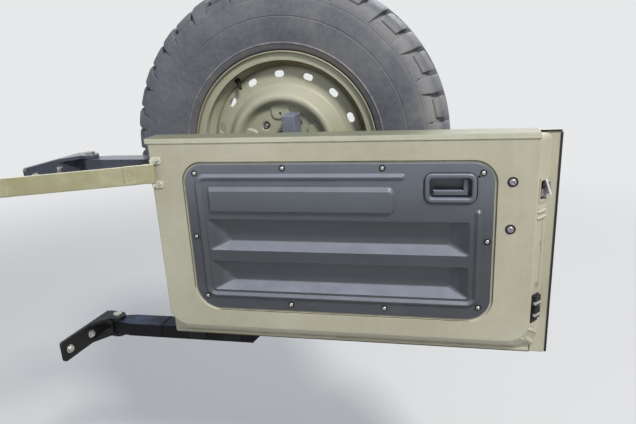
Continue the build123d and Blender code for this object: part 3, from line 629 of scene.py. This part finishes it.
half = [*TREAD_BASE, *SIDEWALL, *BEAD, *LINER]
carcass = half + [(r, -d) for r, d in reversed(half) if d]
corners, faces = [], []
turned(corners, faces, carcass, 240)
print("carcass:", len(faces), "faces")


# %% [markdown]
# A block is a small grid of corners. Its rows run from the sidewall to the middle of the tread, and
# its two long sides are given in degrees. The outermost corners sit a little lower, which makes the
# rounded edge of worn rubber, and a skirt goes down into the carcass. One more set of faces closes
# it underneath.

# %% One tread block
ACROSS = (0.0, 0.1, 0.35, 0.65, 0.9, 1.0)      # corners of a row, from its left end to its right
EDGE_DROP, SKIRT_DROP = 0.11, 0.12             # shares of the tread's depth
SKIRT_LEAN = 0.22                              # degrees


def between(table, s):
    k = min(int(s), len(table) - 2)
    (r0, d0), (r1, d1) = table[k], table[k + 1]
    return r0 + (r1 - r0) * (s - k), d0 + (d1 - d0) * (s - k)


def tread_spot(turn, s, lift, side):
    (r0, d0), (r1, d1) = between(TREAD_BASE, s), between(TREAD_TOP, s)
    return on_wheel(turn, r0 + (r1 - r0) * lift, side * (d0 + (d1 - d0) * lift))


def tread_block(corners, faces, side, rows, left, right, lift):
    first, wide = len(corners), len(ACROSS)
    for j, s in enumerate(rows):
        for i, part in enumerate(ACROSS):
            rim_edge = i in (0, wide - 1) or j in (0, len(rows) - 1)
            turn = left(s) + (right(s) - left(s)) * part
            corners.append(tread_spot(turn, s, lift(s) - (EDGE_DROP if rim_edge else 0.0), side))
    grid = lambda j, i: first + j * wide + i
    for j in range(len(rows) - 1):
        for i in range(wide - 1):
            faces.append((grid(j, i), grid(j, i + 1), grid(j + 1, i + 1), grid(j + 1, i)))
    last = len(rows) - 1
    loop = [(0, i) for i in range(wide)] + [(j, wide - 1) for j in range(1, last)]
    loop += [(last, i) for i in reversed(range(wide))] + [(j, 0) for j in range(last - 1, 0, -1)]
    foot = {}
    for j, i in loop:
        foot[j, i] = len(corners)
        s, lean = rows[j], SKIRT_LEAN * (1 if i == wide - 1 else -1 if i == 0 else 0)
        turn = left(s) + (right(s) - left(s)) * ACROSS[i] + lean
        corners.append(tread_spot(turn, s, -SKIRT_DROP, side))
    for a, b in zip(loop, loop[1:] + loop[:1]):
        faces.append((grid(*a), grid(*b), foot[b], foot[a]))
    ends = (0, wide - 1)
    for j in range(last):
        low = [foot[j, i] for i in (range(wide) if j == 0 else ends)]
        high = [foot[j + 1, i] for i in reversed(range(wide) if j + 1 == last else ends)]
        faces.append(tuple(low + high))


# %% [markdown]
# A row's place is a number from 0, at the middle of the tread, to 8, where it fades into the
# sidewall. The lugs lean and get narrower towards that end. Between two of them stand a low block
# and, on the shoulder, a pad. One side of the tyre is half a pitch ahead of the other.

# %% Lugs, low blocks and shoulder pads
PITCH = 360.0 / PITCHES
END_ROW = len(TREAD_BASE) - 1
FIRST_LUG = 22.2           # degrees of the first lug's middle, at its end row
LUG_ROWS = (8.0, 7.7, 7.2, 6.5, 5.8, 5.0, 4.2, 3.4, 2.6, 1.9, 1.3, 0.95, 0.82)
LOW_ROWS = (4.2, 3.8, 3.1, 2.4, 1.8, 1.3, 0.95, 0.82)
PAD_ROWS = (8.0, 7.6, 7.0, 6.4, 5.95, 5.8)


def lug_middle(s):
    return FIRST_LUG - 0.24 * (END_ROW - s)


def lug_half(s):
    return 2.45 + 0.11 * min(END_ROW - s, 4.0)


def low_gap(s):
    return 1.7 + 0.25 * max(0.0, s - 2.6)


def pad_gap(s):
    return 0.15 + (END_ROW - s) / 2.2


for side, offset in ((1, 0.0), (-1, PITCH / 2)):
    for k in range(PITCHES):
        start = offset + k * PITCH
        left = lambda s: start + lug_middle(s) - lug_half(s)
        right = lambda s: start + lug_middle(s) + lug_half(s)
        tread_block(corners, faces, side, LUG_ROWS, left, right, lambda s: 1.0)
        tread_block(corners, faces, side, LOW_ROWS, lambda s: right(s) + low_gap(s),
                    lambda s: left(s) + PITCH - low_gap(s),
                    lambda s: 0.9 - 0.45 * max(0.0, s - 3.2))
        tread_block(corners, faces, side, PAD_ROWS, lambda s: right(s) + pad_gap(s),
                    lambda s: left(s) + PITCH - pad_gap(s), lambda s: 0.97)
print("tread blocks on both sides:", 6 * PITCHES)


# %% Zigzag rib
RIB = ((368.5, -10.6), (384.2, -9.4), (385.3, -8.0), (386.0, 0.0), (385.3, 8.0), (384.2, 9.4),
       (368.5, 10.6))
turned(corners, faces, RIB, 8 * PITCHES, swing=(0, 2.5, 5, 2.5, 0, -2.5, -5, -2.5))
print("tyre:", len(faces), "faces with its rib")


# %% [markdown]
# Tyre rubber is a soft dark grey. It holds dust on its shoulders, and brown mud where it meets the
# rim. Both depend on the distance from the axle, which `from_axle` measures. The shoulder is paler
# still towards +X: dust, and painted light on that side. Fine rings, left by the mould, run round
# the sidewall.

# %% Tyre rubber
def tyre_rubber():
    tyre = Finish("tyre rubber", IOR=1.48)
    radius = from_axle(tyre) * 1000.0      # in millimetres, as in the half section
    broad = tyre.clouds(7.0, 5.0, 0.6)
    fine = tyre.clouds(90.0, 5.0, 0.7)
    grit = tyre.clouds(320.0, 2.0)
    shoulder = radius.step(318.0, 350.0) * (1.0 - radius.step(360.0, 372.0))
    mud = (1.0 - radius.step(231.0, 240.0)) * broad.step(0.3, 0.7)
    bead_line = radius.step(236.0, 236.6) * (1.0 - radius.step(238.2, 238.8))
    # The shoulder term is paler towards +X: dust, and painted light on the lit side.
    dust_and_light = (broad.step(0.35, 0.75) * 0.35 + shoulder * tyre.along("X").step(0.4, 0.85) * 0.4
            + fine.step(0.4, 0.8) * 0.15)
    tyre.tone = fine.mix(screen(68, 70, 77), screen(92, 95, 104))
    tyre.lay(dust_and_light, screen(142, 140, 138))
    tyre.lay(mud * fine.step(0.25, 0.7) * 0.75, screen(104, 90, 74))
    tyre.lay(bead_line * fine.step(0.3, 0.7) * 0.6, screen(168, 162, 152))
    tyre.lay(tyre.edges(0.0015) * 0.4, screen(138, 137, 138))
    ringed = radius.step(322.0, 330.0) * (1.0 - radius.step(342.0, 350.0))
    height = (radius * 1.05).maths("SINE") * ringed * 0.5 + grit * 0.5 + fine * 0.5
    return tyre.done(0.62 + dust_and_light * 0.3 + mud * 0.1, height, 0.3, 0.0006, 0.001)


tyre = build("tread_tyre", corners, faces, tyre_rubber(), sharp=28.0)
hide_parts("tyre")

# %% [markdown]
# ## Screws, bolts and rivets
#
# A screw is a turned part, so one helper makes them all: it turns a profile round an axis. Where
# the real part isn't round, as at a hexagon or in the cross of a screw head, the profile names an
# outline, which scales its radius by the angle.

# %% Small turned parts
OUTWARD = (0, -1, 0)                     # out of the door's inner face, towards the camera
CROSS_SIDE, CROSS_CORE = 0.46, 0.42      # where a slot begins, in radians, and the core's share


def hexagon(angle):
    return cos(pi / 6) / cos(angle % (pi / 3) - pi / 6)


def cross(angle):
    return 1.0 if abs(angle % (pi / 2) - pi / 4) > CROSS_SIDE else CROSS_CORE


def lathe(corners, faces, foot, axis, profile, sides, turn):
    """Adds a turned part. Its foot is in metres, its profile has (radius, height, outline)."""
    axis = Vector(axis).normalized()
    east = axis.orthogonal().normalized()
    north = axis.cross(east)
    first = len(corners)
    rings = [step for step in profile if step[0] > 0]
    for radius, height, *outline in rings:
        for a in once_round(sides):
            r = radius * (outline[0](a + turn) if outline else 1.0)
            corners.append(foot + (axis * height + (east * cos(a) + north * sin(a)) * r) * MM)
    join_rings(faces, first, sides, len(rings))
    faces.append(tuple(range(first + sides - 1, first - 1, -1)))
    top = first + (len(rings) - 1) * sides
    corners.append(foot + axis * profile[-1][1] * MM)
    faces += [(top + i, top + (i + 1) % sides, len(corners) - 1) for i in range(sides)]


def row_of(name, places, profile, finish, body="door", sides=32, axis=OUTWARD):
    """One turned part at several places, each turned on from the last, as a hand leaves them."""
    corners, faces = [], []
    for i, place in enumerate(places):
        lathe(corners, faces, place, axis, profile, sides, turn=i * 1.3)
    build(name, corners, faces, finish, 30, body)


# %% [markdown]
# Ten cross-head screws in dark cup washers hold the trim panel. Two domed bolts with a sunk hexagon
# hold the lock. Two rivets hold the strap's loop, and cross-head screws hold its anchor. The bolts
# are duller than new zinc, because of road grime.

# %% Trim screws
TRIM_SCREWS = ((302.6, -2.5), (502.3, 8.2), (714.3, 7.4), (914.4, -3.3), (926.3, -148.3),
               (913.1, -298), (714, -309.3), (502.5, -310.6), (301.7, -296.2), (290.5, -149))
places = [spot(x, TRIM_FACE, z) for x, z in TRIM_SCREWS]
row_of("trim_screw_cups", places,
       ((6.8, -0.4), (6.8, 0.5), (6.3, 1.2), (5.4, 1.3), (4.7, 0.5), (4.6, 0.1), (0, 0.1)),
       black)
row_of("trim_screws", places,
       ((4.4, 0.0), (4.4, 0.7), (4.0, 1.7), (3.2, 2.4), (2.5, 2.7), (2.3, 2.7, cross),
        (2.0, 1.3, cross), (0, 1.2)), new_zinc)

# %% Lock bolts
places = [spot(970, INNER_FACE, z) for z in (-21.5, -120)]
row_of("lock_bolt_seats", places,
       ((10.4, -0.3), (10.4, 0.4), (9.9, 0.9), (8.6, 0.9), (7.9, 0.2), (0, 0.2)),
       seal_rubber)
row_of("lock_bolts", places,
       ((7.2, 0.1), (7.2, 1.0), (6.8, 2.4), (5.8, 3.6), (4.4, 4.4), (3.4, 4.6), (3.0, 4.5, hexagon),
        (2.8, 2.6, hexagon), (0, 2.4)), grimy_steel)

# %% Rivets of the strap's loop
LOOP_HOLES = (-27, 27)      # heights of the holes, in the loop and in the anchor
row_of("loop_rivets", [spot(220, -88, z) for z in LOOP_HOLES],
       ((4.4, -0.2), (4.4, 0.5), (3.9, 1.7), (2.6, 2.6), (1.2, 3.0), (0, 3.1)), new_zinc, sides=24)

# %% [markdown]
# The strap's anchor and both hinge brackets belong to the body side. Their frame is turned 8
# degrees from the open door's, so they get a helper of their own for places.

# %% Places on the body side
BODY_TURN = Matrix.Rotation(radians(-8.0), 3, "Z")
UPPER, LOWER = 0.0, -434.5      # heights of the arms' middles
ANCHOR_DROP = 13.0              # the strap's anchor is this far below its loop


def body_spot(x, y, z):
    return HINGE + BODY_TURN @ Vector((x, y, z)) * MM


places = [body_spot(-113, -192, z - ANCHOR_DROP) for z in LOOP_HOLES]
row_of("anchor_screws", places,
       ((4.6, -0.4), (4.6, 0.7), (4.1, 1.9), (3.1, 2.6), (2.4, 2.9), (2.2, 2.9, cross),
        (1.9, 1.5, cross), (0, 1.4)), new_zinc, body="body_side",
       axis=BODY_TURN @ Vector(OUTWARD))

# %% Bracket bolts
places = [body_spot(-39, y, z) for y in (-138, -62) for z in (UPPER, LOWER)]
row_of("bracket_bolts", places,
       ((10.6, -0.2), (10.6, 1.0), (9.7, 1.6), (8.8, 1.7), (8.8, 1.8, hexagon), (8.8, 5.2, hexagon),
        (8.1, 5.9, hexagon), (6.4, 6.1), (0, 6.1)), new_zinc, body="body_side",
       axis=BODY_TURN @ Vector((1, 0, 0)))

# %% [markdown]
# Five stud ends show in the wheel's coned bolt holes. Each has a raised collar and a centre mark,
# left by the lathe.

# %% Stud ends in the wheel
BOLT_RING, FIRST_BOLT, HUB_FRONT = 65.0, 129.5, 70.0
bolt_turns = [radians(FIRST_BOLT + 72 * i) for i in range(5)]
places = [spot(WHEEL_X + BOLT_RING * cos(a), HUB_FRONT + 0.2, WHEEL_Z + BOLT_RING * sin(a))
          for a in bolt_turns]
row_of("stud_ends", places,
       ((5.6, -0.4), (5.6, 0.9), (5.0, 1.5), (4.2, 1.6), (3.7, 0.9), (2.4, 0.8), (1.9, 1.2),
        (1.1, 1.2), (0.9, 0.3), (0, 0.2)), grimy_steel, sides=24)

# %% [markdown]
# ## Welds
#
# The swing arms are cut from square tube and welded. A hand-made weld is a row of small overlapping
# ripples. `bead` runs such a row along a path: it is a thin tube whose radius swells once for each
# ripple, half sunk into the corner that it fills.

# %% Weld beads
BEAD_SIDES, RIPPLE, PINCH = 8, 2.6, 0.45      # corners round it, a ripple's length, an end's share
RIPPLED, EVEN = (0.86, 1.0, 1.06, 0.94), (1.0, 1.0, 1.0, 1.0)


def bead(corners, faces, path, radius, ripple=RIPPLE, swell=RIPPLED):
    """Adds a weld along a path of places in millimetres. An even swell makes a plain strip."""
    points = [Vector(p) for p in path]
    spots = []
    for a, b in zip(points, points[1:]):
        count = max(2, round((b - a).length / ripple * 4))
        spots += [(a.lerp(b, i / count), (b - a).normalized()) for i in range(count)]
    spots.append((points[-1], (points[-1] - points[-2]).normalized()))
    first = len(corners)
    for k, (place, way) in enumerate(spots):
        east = way.orthogonal().normalized()
        north = way.cross(east)
        end = k in (0, len(spots) - 1) and points[0] != points[-1]
        r = radius * (PINCH if end else swell[k % 4]) * (1.0 + 0.06 * sin(k * 1.7))
        corners += [spot(*(place + (east * cos(a) + north * sin(a)) * r))
                    for a in once_round(BEAD_SIDES)]
    closed_tube(faces, first, BEAD_SIDES, len(spots))


# %% Welds of the upper arm
HALF, ARM_TOP = 25.0, 17.5              # half the tube's depth and height
POST_SIDES = (484.0, 514.0)
PROUD, SEAM_PROUD = 0.3, 0.2            # how far a weld's middle stands off the tube
corners, faces = [], []
EYE_SEAM = 21                           # where the tapered tube meets the eye
edge = 17.0 + 8.0 * EYE_SEAM / 44       # the tapered tube's half depth there
for y in (-edge - PROUD, edge + PROUD):
    bead(corners, faces, [(EYE_SEAM, y, -ARM_TOP + 0.8), (EYE_SEAM, y, ARM_TOP - 0.8)], 1.3)
for x in POST_SIDES:
    bead(corners, faces, [(x, 5.0, ARM_TOP + PROUD), (x, HALF + PROUD, ARM_TOP + PROUD),
                          (x, HALF + PROUD, -ARM_TOP)], 2.4)
build("upper_arm_welds", corners, faces, gloss, 60)

# %% [markdown]
# The lower arm and its brace are two tubes, cut at a slant and welded into a bend. The brace meets
# the post at 45 degrees, and the arm has a seam by its eye. Each weld goes up one side, over the
# top and down again.

# %% Welds of the lower arm and its brace
def over_the_top(inner, outer, low, high, radius, foot=HALF, top=HALF + PROUD):
    """A weld over the arm from low to high. Inner and outer are x there, on the two sides."""
    bead(corners, faces, [(inner[0], -foot, low), (inner[1], -top, high), (outer[1], top, high),
                          (outer[0], foot, low)], radius)


BEND, BRACE_MEET, EYE_INNER, EYE_OUTER = 372.5, LOWER + 111.5, 135, 139.5
arm_low, arm_high, seam_side = LOWER - ARM_TOP, LOWER + ARM_TOP, HALF + SEAM_PROUD
corners, faces = [], []
lean, rise = ARM_TOP * tan(radians(22.5)), ARM_TOP / cos(radians(45))
slant, post = (BEND + lean, BEND - lean), (POST_SIDES[0],) * 2
over_the_top(slant, slant, arm_low, arm_high + PROUD, 2.0)
over_the_top(post, post, BRACE_MEET - rise, BRACE_MEET + rise, 2.4)
over_the_top((EYE_INNER,) * 2, (EYE_OUTER,) * 2, arm_low, arm_high + SEAM_PROUD, 1.5, seam_side,
             seam_side)
build("lower_arm_welds", corners, faces, arm_black, 60)

# %% [markdown]
# ## Pressed ridges, seams and seals
#
# The flared wall at the door's free edge is stiffened by small pressed ridges: two short ones under
# the latch, and three that fan round the bottom corner. Each is a long low blister, so one helper
# swells an oval section along a line and lets it die away at both ends.

# %% Pressed ridges
WALL_ALONG, WALL_OUT = Vector((0.6508, 0.7593, 0)), Vector((0.7593, -0.6508, 0))


def on_wall(t, d, z):
    """A place on the flared wall: t along it from its fold, d out of it."""
    return Vector((1018, INNER_FACE, z)) + WALL_ALONG * t + WALL_OUT * d


def ridge(corners, faces, start, end, outward, width, height, blunt):
    """Adds a blister between two places. The blunter it is, the shorter its two ends."""
    steps, sides = 24, 16
    line = end - start
    way = line.normalized()
    across = way.cross(Vector(outward)).normalized()
    up = across.cross(way).normalized()
    first = len(corners)
    for k in range(1, steps):
        t = k / steps
        swell = (1 - abs(2 * t - 1) ** blunt) ** 0.5
        corners += [spot(*(start + line * t + across * (cos(a) * width / 2 * swell)
                           + up * (sin(a) * height * swell))) for a in once_round(sides)]
    join_rings(faces, first, sides, steps - 1)
    last = first + (steps - 2) * sides
    corners.extend([spot(*start), spot(*end)])
    tip = len(corners) - 2
    faces += [(first + (i + 1) % sides, first + i, tip) for i in range(sides)]
    faces += [(last + i, last + (i + 1) % sides, tip + 1) for i in range(sides)]


corners, faces = [], []
for z in (-84.5, -97.5):
    ridge(corners, faces, on_wall(1.5, 0.7, z), on_wall(34, 0.7, z), WALL_OUT, 7.0, 2.6, 9.0)
CORNER_OUT = Vector((0.45, -0.75, -0.45))
for start, end, width, height in (((984, -78, -367), (1003, -56, -397), 11.0, 4.2),
                                  ((999, -82, -352), (1033, -56, -391), 12.0, 4.8),
                                  ((1013, -80, -338), (1040, -56, -357), 9.0, 3.4)):
    ridge(corners, faces, Vector(start), Vector(end), CORNER_OUT, width, height, 5.0)
build("pressed_ridges", corners, faces, olive, 80)

# %% [markdown]
# The latch's blade is the brightest thing on the door: a bare strip of zinc that slants out over
# the slot. It is a long thin blister too, standing on the tongue.

# %% Latch blade
corners, faces = [], []
ridge(corners, faces, on_wall(14, 7.0, -17), on_wall(27, 12.2, -52), WALL_OUT, 5.0, 1.6, 14.0)
build("latch_blade", corners, faces, bright_zinc, 70)

# %% [markdown]
# Thin dark lines make a door look assembled. The dark strips under the hem and round the trim
# panel's recess are painted shadow, where the hem's fold and the recess's edge lie in shade. There
# is also the rubber on the free end of the top edge, and a dark ring round the release cup's bezel,
# painted shadow of the gap there. They are plain round strips, so the weld helper makes them too,
# with an even swell.

# %% Seams and seals
def strips(name, runs, finish, radius):
    corners, faces = [], []
    for run in runs:
        bead(corners, faces, run, radius, 6.0, EVEN)
    build(name, corners, faces, finish, 70)


def rounded_loop(x, z, r, y):
    """A closed path at y, round a rectangle with rounded corners."""
    left, right, low, high = x[0] + r, x[1] - r, z[0] + r, z[1] - r
    path = []
    for cx, cz, start in ((right, high, 0), (left, high, 90), (left, low, 180), (right, low, 270)):
        for i in range(8):
            a = radians(start + 90 * i / 7)
            path.append((cx + r * cos(a), y, cz + r * sin(a)))
    return path + path[:1]


HEM = -410.2
# Painted shadow under the hem's fold.
strips("hem_shadow_line", [[(199, -58.2, HEM), (1026, -58.2, HEM)],
                      [(1026, -57.4, HEM), (1026, -57.4, -396)]], shadow_line_paint, 1.3)
# Painted shadow round the trim panel's recess.
strips("recess_shadow_line", [rounded_loop((271.9, 943.1), (-332.6, 23.1), 48, -82.6)], shadow_line_paint,
       1.8)
strips("top_edge_seal", [[(1019, -58, 74.4), (1060, -58, 74.4)]], seal_rubber, 1.9)
# A dark ring of painted shadow in the gap round the bezel.
strips("cup_shadow_ring", [rounded_loop((798.7, 903.3), (-66.8, -3.2), 17.5, TRIM_FACE - 0.2)], black,
       1.3)

# %% [markdown]
# Two small turned parts are left: the release cup's screw, and the plug of an unused hole in the
# flared wall.

# %% Cup screw and wall plug
row_of("cup_screw", [spot(906.5, TRIM_FACE, -10.5)],
       ((2.6, -0.3), (2.6, 0.5), (2.1, 0.9), (1.2, 0.9), (1.0, 0.2), (0, 0.1)), black,
       sides=20)
row_of("wall_plug", [spot(*on_wall(22, 0, -154.5))],
       ((2.0, -0.3), (2.0, 0.4), (1.5, 0.7), (0, 0.8)), grimy_steel, sides=20, axis=WALL_OUT)

# %% [markdown]
# ## Check strap
#
# The strap that stops the door is flat cotton webbing. Each end goes round a steel bar, comes back,
# and is sewn down with a box of stitches and a cross in it. It is built as one long ribbon: a path
# in plan, from one sewn end round its bar to the other bar and round that, and a flat section with
# rounded selvedges along it. It slopes down a little to its anchor.

# %% The strap's path
LOOP_BAR, ANCHOR_BAR = Vector((208.0, -94.5, 0)), Vector((-152.3, -185.6, 0))
STRAP_RUN = (ANCHOR_BAR - LOOP_BAR).normalized()
STRAP_OUT = Vector((-STRAP_RUN.y, STRAP_RUN.x, 0))      # square to the strap, towards the camera
SPAN = (ANCHOR_BAR - LOOP_BAR).length
WEB_WIDE, WEB_THICK, BAR_GAP = 43.0, 2.2, 4.6
LAYER_GAP = 0.15            # between the two sewn layers
SEWN, FREE = 60.0, 33.0     # from the bar to the lap's end, and to where the two layers meet
LAP_STEP, DOOR_RISE, ANCHOR_RISE = 3, 1.0, -0.8      # each lap lies a little off its strap's height


def ease(t):
    return t * t * (3 - 2 * t)


def drift(start, end):
    """Steps between two places of (along, out, rise), which move out and rise gently."""
    (u0, v0, z0), (u1, v1, z1) = start, end
    return [(u0 + (u1 - u0) * i / 11, v0 + (v1 - v0) * ease(i / 11), z0 + (z1 - z0) * ease(i / 11))
            for i in range(1, 12)]


def round_bar(u, way):
    return [(u + way * BAR_GAP * sin(a), BAR_GAP * cos(a), 0.0)
            for a in (pi * i / 12 for i in range(13))]


lap, back = BAR_GAP + WEB_THICK + LAYER_GAP, BAR_GAP - WEB_THICK - LAYER_GAP
path = [(SEWN - LAP_STEP * i, lap, DOOR_RISE) for i in range(10)]
path += drift((FREE, lap, DOOR_RISE), (0.0, BAR_GAP, 0.0))[:-1] + round_bar(0.0, -1)
path += drift((0.0, -BAR_GAP, 0.0), (FREE, BAR_GAP, 0.0))
path += [(FREE + (SPAN - FREE) * i / 60, BAR_GAP, 0.0) for i in range(1, 60)] + round_bar(SPAN, 1)
path += drift((SPAN, -BAR_GAP, 0.0), (SPAN - FREE, back, ANCHOR_RISE))
path += [(SPAN - FREE - LAP_STEP * i, back, ANCHOR_RISE) for i in range(1, 10)]
print("strap:", round(SPAN), "mm between bars, in", len(path), "steps")


def on_strap(u, v, z):
    place = LOOP_BAR + STRAP_RUN * u + STRAP_OUT * v
    return spot(place.x, place.y, z - ANCHOR_DROP * u / SPAN)


# %% The ribbon
half, selvedge = WEB_WIDE / 2, 0.4      # half the width, and half the thickness at its edges
across = [(half * part / 6, WEB_THICK / 2) for part in (-5.75, -5, -3, -1, 1, 3, 5, 5.75)]
section = (across + [(half, selvedge), (half, -selvedge)] + [(z, -n) for z, n in reversed(across)]
           + [(-half, -selvedge), (-half, selvedge)])
corners, faces = [], []
for k, (u, v, rise) in enumerate(path):
    before, after = path[max(k - 1, 0)], path[min(k + 1, len(path) - 1)]
    way = Vector((after[0] - before[0], after[1] - before[1])).normalized()
    normal = Vector((-way.y, way.x))
    corners += [on_strap(u + normal.x * n, v + normal.y * n, z + rise) for z, n in section]
closed_tube(faces, 0, len(section), len(path))

# %% [markdown]
# Webbing gets its look from its weave: ribs that run along it, crossed by a beat of weft. Both are
# sine waves, one of the height and one of the distance along the strap, and their product is the
# checkered relief of a plain weave. Old webbing is also darker along the selvedges and where it is
# stained, and paler where it has been rubbed. Where it faces up, as on the strap's upper edge, it
# gets a painted highlight.

# %% Webbing
RIB, BEAT = 0.0021, 0.0028      # metres from one rib to the next, and from one weft to the next


def cotton_webbing(name, warp, worn):
    web = Finish(name, Sheen_Weight=0.25, Sheen_Roughness=0.4)
    along = web.vector("DOT_PRODUCT", web.place, tuple(STRAP_RUN), out="Value")
    level = web.along("Z") + (along - spot(*LOOP_BAR).dot(STRAP_RUN)) * (ANCHOR_DROP / SPAN)
    ribs = (level * (2 * pi / RIB)).maths("SINE")
    beat = (along * (2 * pi / BEAT)).maths("SINE")
    weave = ribs * beat * 0.5 + ribs * 0.35 + 0.5
    broad = web.clouds(16.0, 4.0, 0.6)
    fibres = web.clouds(240.0, 4.0, 0.7, stretch=(0.25, 0.25, 1.0))
    selvedge = level.maths("ABSOLUTE").step(0.0165, 0.0215)
    stain = web.clouds(30.0, 4.0, 0.6, stretch=(0.5, 0.5, 1.0)).step(0.52, 0.75)
    web.tone = weave.mix(tuple(c * 0.78 for c in warp), warp)
    web.lay(broad.step(0.4, 0.7) * 0.5, worn)
    web.lay(stain * 0.4 + selvedge * 0.12, tuple(c * 0.62 for c in warp))
    web.lay(fibres.step(0.55, 0.8) * 0.25, worn)
    # Painted highlight on faces that look up, such as the strap's upper edge.
    web.lay(web.facing("Z").step(0.15, 0.6), screen(226, 223, 202))
    return web.done(0.82 + fibres * 0.15, weave + fibres * 0.6, 0.55, 0.0005)


cotton = cotton_webbing("cotton webbing", screen(160, 155, 120), screen(180, 176, 148))
strap = build("webbing_strap", corners, faces, cotton, 50, body=None)
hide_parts("check_strap")
on_strap(SPAN - SEWN - 4, BAR_GAP, 0)
on_strap(SEWN + 4, BAR_GAP, 0)
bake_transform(strap)

# %% [markdown]
# Each stitch is a short round thread that dives into the webbing at both ends. Seams form a box and
# its two diagonals.

# %% Stitches
STITCH, STITCH_GAP, THREAD = 3.4, 0.9, 0.42      # length, gap and half the thread's thickness
SEAM_HALF, SEAM_IN = 16.5, 4                     # half the box's height, and its inset
THREAD_RINGS = ((-0.5, -0.5, 0.5), (-0.36, 0.1, 1.0), (0.0, 0.3, 1.1), (0.36, 0.1, 1.0),
                (0.5, -0.5, 0.5))                # each is (place along, lift, thickness)


def stitches(corners, faces, start, end, level):
    """Adds a seam between two places (along the strap, height), at a level above its middle."""
    (u0, z0), (u1, z1) = start, end
    whole = hypot(u1 - u0, z1 - z0)
    count = max(1, round(whole / (STITCH + STITCH_GAP)))
    du, dz = (u1 - u0) / whole, (z1 - z0) / whole
    for s in range(count):
        middle = whole * (s + 0.5) / count
        first = len(corners)
        for t, lift, size in THREAD_RINGS:
            at = middle + t * STITCH
            for a in once_round(6):
                side, up = cos(a) * THREAD * size, sin(a) * THREAD * size
                corners.append(on_strap(u0 + du * at - dz * side, level + (lift * THREAD * 2 + up),
                                        z0 + dz * at + du * side))
        closed_tube(faces, first, 6, len(THREAD_RINGS))


def sewn_box(name, u0, u1, level, rise, body):
    corners, faces = [], []
    low, high = rise - SEAM_HALF, rise + SEAM_HALF
    spots = ((u0, low), (u1, low), (u1, high), (u0, high))
    for a, b in ((0, 1), (1, 2), (2, 3), (3, 0), (0, 2), (1, 3)):
        stitches(corners, faces, spots[a], spots[b], level)
    build(name, corners, faces, thread, 60, body)


thread = cotton_webbing("sewing thread", screen(176, 164, 144), screen(204, 192, 172))
near, far = FREE + SEAM_IN, SEWN - SEAM_IN
sewn_box("door_end_stitches", near, far, lap + WEB_THICK / 2, DOOR_RISE, "door")
sewn_box("anchor_end_stitches", SPAN - far, SPAN - near, BAR_GAP + WEB_THICK / 2, 0.0, "body_side")
